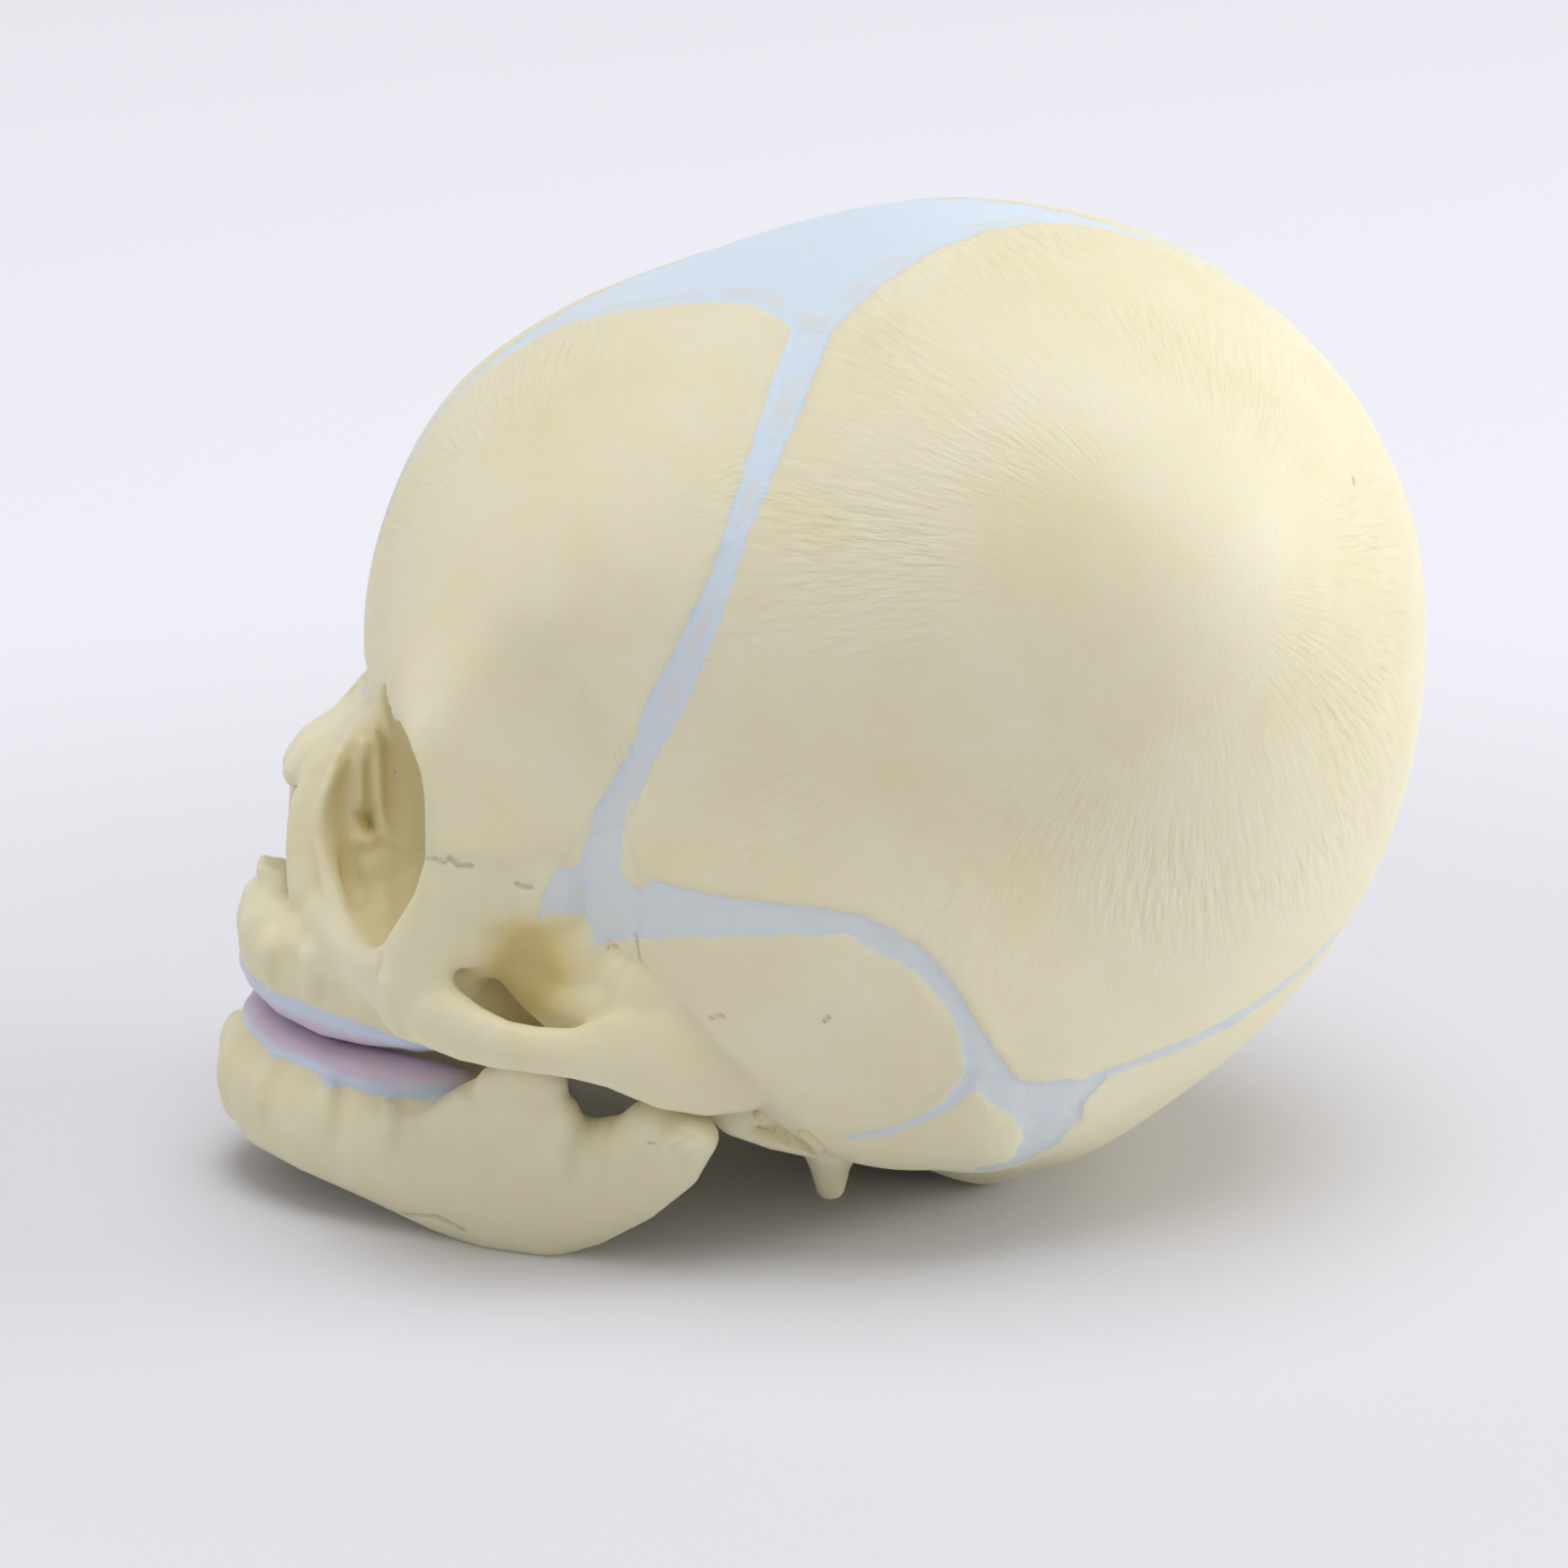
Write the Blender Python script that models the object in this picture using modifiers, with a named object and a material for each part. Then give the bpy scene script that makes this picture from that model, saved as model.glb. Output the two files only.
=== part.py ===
"""Infant skull teaching model: cast bone pieces, painted membranes, gum pads and a hinged lower jaw.

The skull faces -Y, its left side is +X, and it stands at Z = 0 on both jaw angles and the occiput.
Places are counted in shares of the skull's length, width and height and scaled at the end.
"""
import math

import bmesh
import bpy
import numpy as np
from mathutils import Matrix, Vector

# Driving dimensions, in metres.
SKULL_LENGTH = 0.130
SKULL_WIDTH = 0.093
SKULL_HEIGHT = 0.105
BONE_WALL = 0.0024
MEMBRANE_WALL = 0.0014
MEMBRANE_SINK = 0.0004
GAP = 0.0003
PIN_RADIUS = 0.0010
PIN_CLEARANCE = 0.0001
HINGE_LUG_RADIUS = 0.0020
HINGE_LUG_HALF_THICKNESS = 0.0012
EAR_RING_RADIUS = 0.0040
EAR_RING_TUBE_RADIUS = 0.0009
CLAY_VOXEL = 0.0009
FIT_GAP = 0.00045
CUTTER_OVERRUN = 0.020
BROW_SEAT_GAP = 0.0006
EAR_RING_LIFT = 0.0012
THIN_CLAY_VOXEL = 0.00055
LUG_POCKET_RADIUS = 0.0030
MERGE_DISTANCE = 0.0000015

# How many shares each overall size is counted in.
LENGTH_SHARES = 130.0
WIDTH_SHARES = 93.0
HEIGHT_SHARES = 105.0
SCALE = np.array([SKULL_WIDTH / WIDTH_SHARES, SKULL_LENGTH / LENGTH_SHARES, SKULL_HEIGHT / HEIGHT_SHARES])
ONE_SHARE = SKULL_LENGTH / LENGTH_SHARES

# The braincase is a rounded form about one centre. Its radius in the middle plane is listed by the
# angle that climbs from the face over the crown, and its corners square up by the power beside it.
CENTRE_SHARES = np.array([0.0, 12.0, 57.0])
HALF_WIDTH_SHARE = 46.0
PROFILE_SHARES = {
    0: 57, 15: 56.6, 30: 55, 45: 51, 60: 47.3, 75: 46.3, 90: 47.1, 105: 48.6, 120: 50.7, 135: 52.8,
    150: 54.8, 165: 55.8, 180: 55.6, 195: 55.9, 210: 56.2, 225: 56.2, 240: 56.4, 255: 57.8, 262: 58.3,
    270: 54.6, 285: 48, 300: 46, 315: 47, 330: 51, 345: 55,
}
CORNER_POWERS = {
    0: 2.15, 90: 2.15, 180: 2.15, 215: 2.15, 240: 2.3, 262: 2.7, 285: 3.6, 305: 3.8, 325: 3.0, 345: 2.3,
}
# Swellings and hollows: turn, side angle, height share, spread in degrees, steepness.
SWELLING_SHARES = (
    (140, 52, 4.0, 24, 2),
    (22, 34, 1.5, 16, 2),
    (352, 62, -5.0, 20, 2),
    (215, 60, -2.5, 22, 2),
    (270, 80, -3.0, 25, 2),
    (350, 35.5, 9.0, 6.0, 2),
    (356, 35.5, 4.0, 6.2, 2),
    (0, 32, 4.0, 7.0, 2),
    (3, 24, 3.0, 7.0, 2),
    (344, 21, -17.0, 11.0, 4),
    (285, 36, 2.0, 9.0, 2),
)

# Seam lines on the left half, as turn and side angle in degrees.
SEAMS = {
    'metopic': [(356, 0.8), (15, 0.8), (33, 0.8)],
    'fontanelle_front': [(33, 0.8), (40, 2.2), (46, 4), (53, 8.5), (60, 13.5), (67, 19.5), (71.5, 27.5)],
    'fontanelle_side': [(71.5, 27.5), (76.5, 30.5)],
    'fontanelle_back': [(76.5, 30.5), (83, 25), (91, 18), (98, 12), (106, 6), (115, 2.2), (124, 0.8)],
    'sagittal': [(124, 0.8), (160, 0.8), (198, 0.8)],
    'coronal_front': [(71.5, 27.5), (66, 35), (59, 42.5), (49, 49), (43, 51.5), (28, 53.5), (9, 51.5),
                      (354, 47), (345, 43.5)],
    'coronal_back': [(76.5, 30.5), (71, 38.5), (63, 45.5), (55, 50), (45, 54), (29, 57), (11, 56),
                     (355, 51.5), (345.5, 48)],
    'coronal_foot': [(345, 43.5), (345.5, 48)],
    'pterion_front': [(345, 43.5), (341, 41), (335, 38)],
    'pterion_low': [(335, 38), (329, 40), (327, 46)],
    'pterion_back': [(345.5, 48), (336, 49)],
    'squamous_start': [(336, 49), (327, 46)],
    'temple_edge': [(335, 38), (338, 39.5), (341, 39.5), (345.5, 38), (348.3, 35.5)],
    'brow': [(348.3, 35.5), (353, 35.5), (358, 34), (1, 30), (2.5, 22), (0.5, 13), (357, 6), (356, 0.8)],
    'squamous_upper': [(336, 49), (326, 57), (305, 66), (285, 67), (269, 63), (261, 55), (256, 47)],
    'squamous_lower': [(327, 46), (319, 55), (300, 64), (286, 64), (274, 62), (266, 56), (265, 51)],
    'squamous_end': [(265, 51), (256, 47)],
    'mastoid_upper': [(256, 47), (250, 43), (245, 41.5)],
    'mastoid_back': [(245, 41.5), (243.5, 39.8)],
    'mastoid_low': [(243.5, 39.8), (250, 37.5), (256, 36)],
    'mastoid_front': [(256, 36), (258, 42), (262, 47), (265, 51)],
    'lambdoid_upper': [(206, 10.5), (209, 17), (213, 22.5), (220, 28), (227, 32.5), (237, 38), (245, 41.5)],
    'lambdoid_lower': [(207.5, 9.3), (210.5, 16), (214.3, 21.3), (221, 26.6), (228, 31), (237.2, 36.6),
                       (243.5, 39.8)],
    'lambda_side': [(198, 0.8), (206, 10.5)],
    'lambda_end': [(206, 10.5), (207.5, 9.3)],
    'lambda_low': [(207.5, 9.3), (211, 0), (207.5, -9.3)],
    'temporal_front': [(327, 46), (322, 42), (318, 38)],
    'temporal_low': [(318, 38), (310, 39.5), (300, 40), (291, 40), (282, 41), (274, 45)],
    'temporal_back': [(265, 51), (269, 48.5), (274, 45)],
    'petrous_front': [(318, 38), (311, 31), (300, 19), (290, 8)],
    'occiput_low': [(256, 36), (262, 24), (266.5, 10)],
    'foramen_back': [(266.5, 10), (268, 0), (266.5, -10)],
    'foramen_side': [(266.5, 10), (278, 11.5), (290, 8)],
    'foramen_front': [(290, 8), (290, -8)],
    'condyle_front': [(290, 8), (284, 18), (276, 27)],
    'condyle_rear': [(276, 27), (266, 31), (256, 36)],
    'fontanelle_tip': [(33, 0.8), (33, -0.8)],
    'fontanelle_end': [(124, 0.8), (124, -0.8)],
    'metopic_foot': [(356, 0.8), (356, -0.8)],
    'lambda_top': [(198, 0.8), (198, -0.8)],
    'basilar_side': [(290, 8), (313, 7)],
    'basilar_front': [(313, 7), (313, -7)],
    'body_side': [(313, 7), (334, 8)],
    'body_front': [(334, 8), (334, -8)],
    'orbit_inner': [(334, 8), (345, 6), (352, 3), (356, 0.8)],
}

# Seams that always take the same number of steps, so that both neighbours follow the same corners.
FIXED_STEPS = {'temple_edge': 3, 'brow': 9, 'petrous_front': 5}

# Modelled bone that isn't braincase. A station holds x, y, z, half thickness and half height shares,
# or x, y, z and three half sizes. The swell makes up for what smoothing takes off.
CLAY_SWELL_SHARE = 0.35
MANDIBLE_SHARES = (
    (0.0, -58.4, 10.6, 3.9, 6.2), (6.5, -56.6, 10.4, 3.9, 6.1), (12.5, -51.6, 9.8, 4.0, 6.0),
    (17.5, -45.0, 8.9, 3.9, 6.5), (21.5, -38.5, 8.2, 3.7, 7.9), (25.2, -32.5, 8.0, 3.2, 9.0),
    (27.8, -27.4, 8.2, 2.8, 9.0), (29.8, -22.2, 9.2, 2.6, 8.0), (31.6, -17.0, 11.0, 2.5, 6.4),
    (33.4, -13.6, 13.2, 2.6, 4.4), (34.6, -12.8, 15.0, 3.1, 2.6),
)
MANDIBLE_MASS_SHARES = (
    (34.0, -16.4, 15.0, 2.6, 3.2, 2.6),
    (27.4, -31.8, 13.6, 2.3, 6.2, 6.0),
    (29.4, -30.4, 16.8, 2.1, 5.0, 4.8),
    (31.4, -28.6, 20.2, 1.6, 4.2, 2.8),
    (32.0, -26.4, 16.4, 1.8, 4.2, 3.6),
    (0.0, -60.2, 9.0, 4.6, 2.0, 3.6),
)
HINGE_SHARES = np.array([34.6, -13.4, 15.3])
LOWER_GUM_SHARES = (
    (0.0, -56.6, 18.0, 3.0, 2.7), (4.5, -55.6, 17.8, 3.0, 2.7), (8.8, -52.6, 17.2, 3.0, 2.4),
    (12.2, -48.6, 16.6, 3.0, 2.2), (15.2, -44.0, 15.9, 3.0, 2.2), (17.8, -39.6, 15.6, 2.7, 2.0),
    (20.0, -35.6, 15.6, 2.2, 1.7),
)
LOWER_GUM_SEAT_SHARES = (-58.0, 16.6, -0.14)
ALVEOLAR_SHARES = (
    (0.0, -55.6, 27.6, 3.8, 5.2), (4.5, -54.9, 27.4, 3.8, 5.2), (8.5, -52.4, 27.0, 3.9, 5.2),
    (12.0, -48.6, 26.0, 4.0, 5.6), (14.6, -44.4, 25.4, 4.0, 6.0), (16.6, -40.0, 24.6, 3.8, 6.0),
    (17.8, -35.6, 25.2, 3.4, 5.4),
)
UPPER_GUM_SHARES = (
    (0.0, -55.6, 23.7, 3.3, 2.4), (4.2, -54.9, 23.6, 3.3, 2.5), (8.2, -52.8, 23.0, 3.3, 2.6),
    (11.6, -49.2, 22.3, 3.3, 2.6), (14.4, -45.0, 21.8, 3.3, 2.6), (16.6, -40.6, 21.2, 3.1, 2.0),
    (17.8, -36.6, 20.9, 2.7, 1.7),
)
UPPER_GUM_SEAT_SHARES = (-58.7, 24.9, -0.27)
MAXILLA_STRUT_SHARES = (
    ((11.0, -48.5, 31.0, 4.4, 3.6, 4.4), (17.0, -46.0, 30.4, 4.0, 3.2, 4.0),
     (23.0, -43.4, 29.6, 3.4, 2.8, 3.8), (28.0, -41.6, 28.6, 2.8, 2.8, 3.4)),
    ((8.6, -50.6, 34.0, 2.2, 3.0, 2.6), (7.4, -50.6, 38.0, 1.7, 3.2, 2.6), (6.4, -50.2, 42.0, 1.5, 3.2, 2.6),
     (5.5, -48.8, 46.0, 1.4, 2.8, 2.4), (4.8, -46.0, 49.8, 1.4, 2.2, 2.0)),
    ((9.6, -48.4, 36.5, 1.8, 2.0, 2.4), (8.8, -47.2, 42.0, 1.4, 1.8, 2.2), (7.0, -45.8, 47.0, 1.3, 1.6, 2.0)),
    ((1.6, -54.0, 31.6, 2.0, 2.4), (1.2, -56.0, 33.8, 1.1, 1.2)),
)
MAXILLA_MASS_SHARES = (
    (14.5, -42.0, 28.0, 7.0, 7.0, 3.6),
    (18.0, -36.0, 30.4, 9.0, 7.0, 1.8),
    (6.0, -43.0, 27.0, 8.0, 9.0, 1.6),
    (13.0, -47.6, 28.6, 4.6, 3.8, 4.6),
)
ZYGOMATIC_SHARES = (
    (36.6, -37.6, 44.8, 1.5, 2.3, 2.2), (36.2, -37.6, 41.0, 1.9, 3.3, 2.6),
    (35.2, -38.8, 36.6, 2.3, 3.9, 3.0),
    (33.6, -39.4, 31.8, 2.8, 4.4, 4.2), (33.2, -39.4, 28.4, 2.6, 3.8, 3.2),
)
ZYGOMATIC_ARM_SHARES = (
    ((34.4, -38.4, 29.0, 2.6, 3.0, 3.6), (36.4, -35.2, 27.6, 1.8, 2.6, 3.0),
     (37.6, -31.8, 26.5, 1.4, 2.4, 2.4)),
    ((33.4, -40.2, 31.0, 2.6, 2.9, 3.8), (30.8, -41.6, 30.4, 2.4, 2.7, 3.8)),
    ((35.0, -36.4, 40.0, 1.2, 2.4, 5.4), (32.4, -33.4, 38.6, 1.2, 2.4, 5.0),
     (29.6, -30.8, 37.6, 1.2, 2.4, 4.6)),
)
ETHMOID_SHARES = (
    (8.9, -46.0, 43.0, 0.7, 1.6, 5.4), (8.7, -42.0, 43.6, 0.7, 2.0, 6.6), (8.2, -37.0, 43.0, 0.7, 2.0, 6.4),
)
ARCH_SHARES = (
    (38.2, -28.4, 26.0, 1.3, 2.4, 2.1), (38.8, -24.0, 25.6, 1.4, 3.0, 2.4),
    (38.8, -20.4, 26.0, 1.6, 3.0, 4.0),
    (38.2, -15.5, 24.6, 2.0, 3.0, 5.2), (36.8, -11.0, 22.6, 2.2, 3.0, 4.4), (35.2, -6.0, 21.2, 2.0, 3.0, 3.0),
)
NASAL_SHARES = (
    (2.2, -44.0, 53.4, 2.2, 1.3, 1.3), (2.6, -47.4, 51.2, 2.3, 1.3, 1.3), (2.8, -51.0, 48.2, 2.3, 1.3, 1.4),
    (2.8, -53.0, 45.6, 2.2, 1.1, 1.3),
)
VOMER_SHARES = (
    (0.0, -49.4, 31.4, 0.8, 3.4), (0.0, -44.5, 34.2, 0.8, 6.4), (0.0, -39.5, 36.0, 0.8, 7.6),
)
STYLOID_SHARES = (
    (26.0, 2.0, 12.5, 2.8, 2.6), (24.6, 2.6, 8.4, 1.8, 2.4), (23.0, 3.3, 4.4, 1.0, 1.4),
)
HINGE_LUG_SHARE = 28.8
HINGE_LUG_TOP_SHARE = 24.0
HINGE_PIN_END_SHARE = 38.0
LUG_BAR_SHARE = 0.8
EAR_PLACE = (289, 35)
EAR_RING_OPENING = 50
ORBIT_CUT_SHARES = ((21.8, -41.5, 46.0), (12.6, 14.0, 12.9))
NOSE_CUT_SHARES = ((0.0, -47.0, 38.8), (4.9, 13.0, 6.2))

# The skull stands on this plane: a point on it and its outward side.
TABLE = ((0, 0, 0), (0, 0, -1))

BONE = ('cast_pvc_bone', (0.795, 0.745, 0.585), 0.42)
FACE_BONE = ('cast_pvc_face_bone', (0.80, 0.74, 0.56), 0.42)
MEMBRANE = ('painted_membrane', (0.73, 0.83, 0.90), 0.40)
GUM = ('painted_gum', (0.67, 0.58, 0.68), 0.38)
STEEL = ('steel_pin', (0.62, 0.62, 0.63), 0.30)


def clear_scene():
    for thing in list(bpy.data.objects):
        bpy.data.objects.remove(thing, do_unlink=True)


def material(spec):
    name, colour, roughness = spec
    made = bpy.data.materials.get(name)
    if made is None:
        made = bpy.data.materials.new(name)
        made.use_nodes = True
        shader = made.node_tree.nodes['Principled BSDF']
        shader.inputs['Base Color'].default_value = (*colour, 1.0)
        shader.inputs['Roughness'].default_value = roughness
        shader.inputs['Metallic'].default_value = 1.0 if spec is STEEL else 0.0
    return made


def around(table, turn):
    """Smooth value of a table at any turn, joined up after a full circle."""
    keys = np.array(sorted(table), float)
    values = np.array([table[int(key)] for key in keys], float)
    keys = np.concatenate([keys - 360, keys, keys + 360])
    values = np.concatenate([values, values, values])
    slopes = np.gradient(values, keys)
    turn = np.mod(turn, 360)
    at = np.searchsorted(keys, turn, side='right') - 1
    step = keys[at + 1] - keys[at]
    t = (turn - keys[at]) / step
    return ((2 * t ** 3 - 3 * t ** 2 + 1) * values[at] + (t ** 3 - 2 * t ** 2 + t) * step * slopes[at]
            + (3 * t ** 2 - 2 * t ** 3) * values[at + 1] + (t ** 3 - t ** 2) * step * slopes[at + 1])


def direction(turn, side):
    turn = np.radians(turn)
    side = np.radians(side)
    return np.stack([np.sin(side), -np.cos(side) * np.cos(turn), np.cos(side) * np.sin(turn)], -1)


def vault_radius(rays):
    """Radius share of the braincase along unit vectors."""
    sine = np.abs(rays[..., 0])
    cosine = np.sqrt(np.maximum(1 - sine ** 2, 1e-9))
    turn = np.degrees(np.arctan2(rays[..., 2], -rays[..., 1]))
    power = around(CORNER_POWERS, turn)
    profile = around(PROFILE_SHARES, turn)
    radius = ((cosine / profile) ** power + (sine / HALF_WIDTH_SHARE) ** power) ** (-1 / power)
    half = np.stack([sine, rays[..., 1], rays[..., 2]], -1)
    for turn_at, side_at, height, spread, steepness in SWELLING_SHARES:
        apart = np.degrees(np.arccos(np.clip(half @ direction(turn_at, side_at), -1, 1)))
        radius = radius + height * np.exp(-(apart / spread) ** steepness)
    return radius


def vault_points(rays, depth=0.0):
    """Points in metres on the braincase, sunk inwards by a depth in metres."""
    radius = vault_radius(rays)
    return (CENTRE_SHARES + rays * radius[..., None]) * SCALE - rays * depth


def seam(name, mirrored=False):
    """Dense run of unit vectors along a seam line."""
    corners = direction(*np.array(SEAMS[name], float).T)
    if len(corners) > 2:
        padded = np.vstack([2 * corners[0] - corners[1], corners, 2 * corners[-1] - corners[-2]])
        run = []
        for a, b, c, d in zip(padded, padded[1:], padded[2:], padded[3:]):
            for t in np.linspace(0, 1, 12, endpoint=False):
                run.append(0.5 * (2 * b + (c - a) * t + (2 * a - 5 * b + 4 * c - d) * t ** 2
                                  + (3 * b - a - 3 * c + d) * t ** 3))
        run.append(corners[-1])
        run = np.array(run)
    else:
        run = corners[0] + (corners[1] - corners[0]) * np.linspace(0, 1, 13)[:, None]
    run = run / np.linalg.norm(run, axis=1, keepdims=True)
    return run * np.array([-1, 1, 1]) if mirrored else run


def even_run(run, pieces):
    """A run of unit vectors again, with evenly spaced points."""
    lengths = np.concatenate([[0], np.cumsum(np.linalg.norm(np.diff(run, axis=0), axis=1))])
    places = np.linspace(0, lengths[-1], pieces + 1)
    even = np.stack([np.interp(places, lengths, run[:, k]) for k in range(3)], -1)
    return even / np.linalg.norm(even, axis=1, keepdims=True)


def side_run(steps, pieces):
    """One side of a patch from seams in order. A name that starts with - runs backwards, with * mirrored."""
    runs = []
    for step in steps:
        backwards = '-' in step
        run = seam(step.strip('-*'), '*' in step)
        runs.append(run[::-1] if backwards else run)
    fixed = [FIXED_STEPS.get(step.strip('-*'), 0) for step in steps]
    lengths = [np.linalg.norm(np.diff(run, axis=0), axis=1).sum() for run in runs]
    lengths = [0 if count else length for length, count in zip(lengths, fixed)]
    free = pieces - sum(fixed)
    counts = [count or max(1, round(free * length / sum(lengths))) for count, length in zip(fixed, lengths)]
    if free:
        longest = int(np.argmax(lengths))
        counts[longest] += pieces - sum(counts)
    joined = [even_run(runs[0], counts[0])]
    joined += [even_run(run, count)[1:] for run, count in zip(runs[1:], counts[1:])]
    return np.vstack(joined)


def shrink_row(points, row, inner, amount):
    """How far one border row moves inwards along the surface for the gap to its neighbour."""
    along = np.gradient(points[row], axis=0)
    along = along / np.linalg.norm(along, axis=1, keepdims=True)
    inwards = points[inner] - points[row]
    inwards = inwards - along * (inwards * along).sum(1)[:, None]
    return inwards / np.linalg.norm(inwards, axis=1, keepdims=True) * amount


def new_object(name, mesh, look, parent=None):
    node = bpy.data.objects.new(name, mesh)
    node.data.materials.clear()
    node.data.materials.append(material(look))
    skull.objects.link(node)
    if parent is not None:
        node.parent = parent
    return node


def face_outwards(bm):
    bmesh.ops.recalc_face_normals(bm, faces=bm.faces[:])
    if bm.calc_volume(signed=True) < 0:
        bmesh.ops.reverse_faces(bm, faces=bm.faces[:])


def shell_mesh(name, bm, rays, depth, wall):
    """Close the sheet over rays as a shell of the wall under the braincase surface."""
    outer = vault_points(rays, depth)
    inner = vault_points(rays, depth + wall)
    sheet = list(bm.verts)
    lifted = bmesh.ops.extrude_face_region(bm, geom=list(bm.faces), use_keep_orig=True)
    copies = [item for item in lifted['geom'] if isinstance(item, bmesh.types.BMVert)]
    order = {tuple(round(c, 6) for c in vert.co): k for k, vert in enumerate(sheet)}
    pairs = [(vert, inner[order[tuple(round(c, 6) for c in vert.co)]]) for vert in copies]
    for vert, place in zip(sheet, outer):
        vert.co = Vector(place)
    for vert, place in pairs:
        vert.co = Vector(place)
    face_outwards(bm)
    mesh = bpy.data.meshes.new(name)
    bm.to_mesh(mesh)
    bm.free()
    return mesh


def patch(name, first, second, third, fourth, across, down, look, depth=0.0, wall=BONE_WALL):
    """Four-sided shell on the braincase. The sides follow each other round the patch."""
    top = side_run(first, across)
    right = side_run(second, down)
    bottom = side_run(third, across)[::-1]
    left = side_run(fourth, down)[::-1]
    u = np.linspace(0, 1, across + 1)[:, None, None]
    v = np.linspace(0, 1, down + 1)[None, :, None]
    rays = ((1 - v) * top[:, None] + v * bottom[:, None] + (1 - u) * left[None] + u * right[None]
            - (1 - u) * (1 - v) * top[0] - u * (1 - v) * top[-1]
            - (1 - u) * v * bottom[0] - u * v * bottom[-1])
    rays = rays / np.linalg.norm(rays, axis=2, keepdims=True)
    points = vault_points(rays)
    moved = points.copy()
    moved[:, 0] += shrink_row(points.transpose(1, 0, 2), 0, 1, GAP / 2)
    moved[:, -1] += shrink_row(points.transpose(1, 0, 2), -1, -2, GAP / 2)
    moved[0] += shrink_row(points, 0, 1, GAP / 2)
    moved[-1] += shrink_row(points, -1, -2, GAP / 2)
    rays = moved / SCALE - CENTRE_SHARES
    rays = (rays / np.linalg.norm(rays, axis=2, keepdims=True)).transpose(1, 0, 2).reshape(-1, 3)
    bm = bmesh.new()
    bmesh.ops.create_grid(bm, x_segments=across, y_segments=down, size=1.0)
    return new_object(name, shell_mesh(name, bm, rays, depth, wall), look, root)


def fan(name, loop, pieces, look, depth, wall):
    """Small shell of any outline on the braincase, as a fan about its middle."""
    rays = side_run(loop, pieces)[:-1]
    points = vault_points(rays)
    middle = points.mean(0)
    inwards = middle - points
    points = points + inwards / np.linalg.norm(inwards, axis=1, keepdims=True) * GAP
    rays = np.vstack([points, middle]) / SCALE - CENTRE_SHARES
    rays = rays / np.linalg.norm(rays, axis=1, keepdims=True)
    bm = bmesh.new()
    bmesh.ops.create_circle(bm, cap_ends=True, cap_tris=True, segments=pieces, radius=1.0)
    ring = [vert for vert in bm.verts if vert.co.length > 0.5]
    hub = [vert for vert in bm.verts if vert.co.length <= 0.5]
    order = {vert: k for k, vert in enumerate(ring)}
    order[hub[0]] = pieces
    placed = np.array([rays[order[vert]] for vert in bm.verts])
    return new_object(name, shell_mesh(name, bm, placed, depth, wall), look, root)


def mirror_image(mesh):
    twin = mesh.copy()
    twin.transform(Matrix.Scale(-1, 4, Vector((1, 0, 0))))
    twin.flip_normals()
    return twin


def both_sides(make, name, *sides, **rest):
    """Make a piece on the left and its mirror twin on the right."""
    left = make(f'{name}_left', *sides, **rest)
    right = bpy.data.objects.new(f'{name}_right', mirror_image(left.data))
    skull.objects.link(right)
    right.parent = left.parent
    return left, right


def evaluated_mesh(node):
    graph = bpy.context.evaluated_depsgraph_get()
    graph.update()
    mesh = bpy.data.meshes.new_from_object(node.evaluated_get(graph))
    return mesh


def add_ball(bm, centre, radii, turn=0.0):
    place = Matrix.Translation(Vector(centre)) @ Matrix.Rotation(turn, 4, 'Z')
    place = place @ Matrix.Diagonal((*radii, 1.0))
    bmesh.ops.create_icosphere(bm, subdivisions=2, radius=1.0, matrix=place)


def add_chain(bm, stations, mirrored=False):
    """Swell a run of stations into overlapping flattened balls."""
    stations = [np.array(station, float) for station in stations]
    for start, end in zip(stations, stations[1:]):
        count = max(2, math.ceil(2 * np.linalg.norm(end[:3] - start[:3]) / min(*start[3:], *end[3:])))
        heading = math.atan2(*(end - start)[:2])
        for t in np.linspace(0, 1, count):
            x, y, z, *sizes = start + (end - start) * t
            radii = np.array(sizes if len(sizes) == 3 else [sizes[0], sizes[0], sizes[1]])
            turn = heading if len(sizes) == 2 else 0.0
            for sign in (1, -1) if mirrored else (1,):
                add_ball(bm, np.array([sign * x, y, z]) * SCALE, (radii + CLAY_SWELL_SHARE) * ONE_SHARE,
                         -sign * turn)


def clay(name, stations=(), masses=(), faces=400, mirrored=False, voxel=CLAY_VOXEL):
    """Bone built up from stations and round masses, fused, smoothed and thinned to few faces."""
    bm = bmesh.new()
    for run in stations:
        add_chain(bm, run, mirrored)
    for x, y, z, rx, ry, rz in masses:
        for sign in (1, -1) if mirrored else (1,):
            radii = (np.array([rx, ry, rz]) + CLAY_SWELL_SHARE) * ONE_SHARE
            add_ball(bm, np.array([sign * x, y, z]) * SCALE, radii)
    mesh = bpy.data.meshes.new(name)
    bm.to_mesh(mesh)
    bm.free()
    lump = bpy.data.objects.new(name + '_lump', mesh)
    cutters.objects.link(lump)
    fuse = lump.modifiers.new('fuse', 'REMESH')
    fuse.mode = 'VOXEL'
    fuse.voxel_size = voxel
    relax = lump.modifiers.new('relax', 'SMOOTH')
    relax.iterations = 3
    fused = evaluated_mesh(lump)
    thin = bpy.data.objects.new(name + '_fused', fused)
    cutters.objects.link(thin)
    few = thin.modifiers.new('few', 'DECIMATE')
    few.use_collapse_triangulate = True
    few.use_symmetry = mirrored
    few.symmetry_axis = 'X'
    few.ratio = faces / max(1, sum(len(face.vertices) - 2 for face in fused.polygons))
    done = evaluated_mesh(thin)
    bpy.data.objects.remove(lump, do_unlink=True)
    bpy.data.objects.remove(thin, do_unlink=True)
    return done


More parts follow.
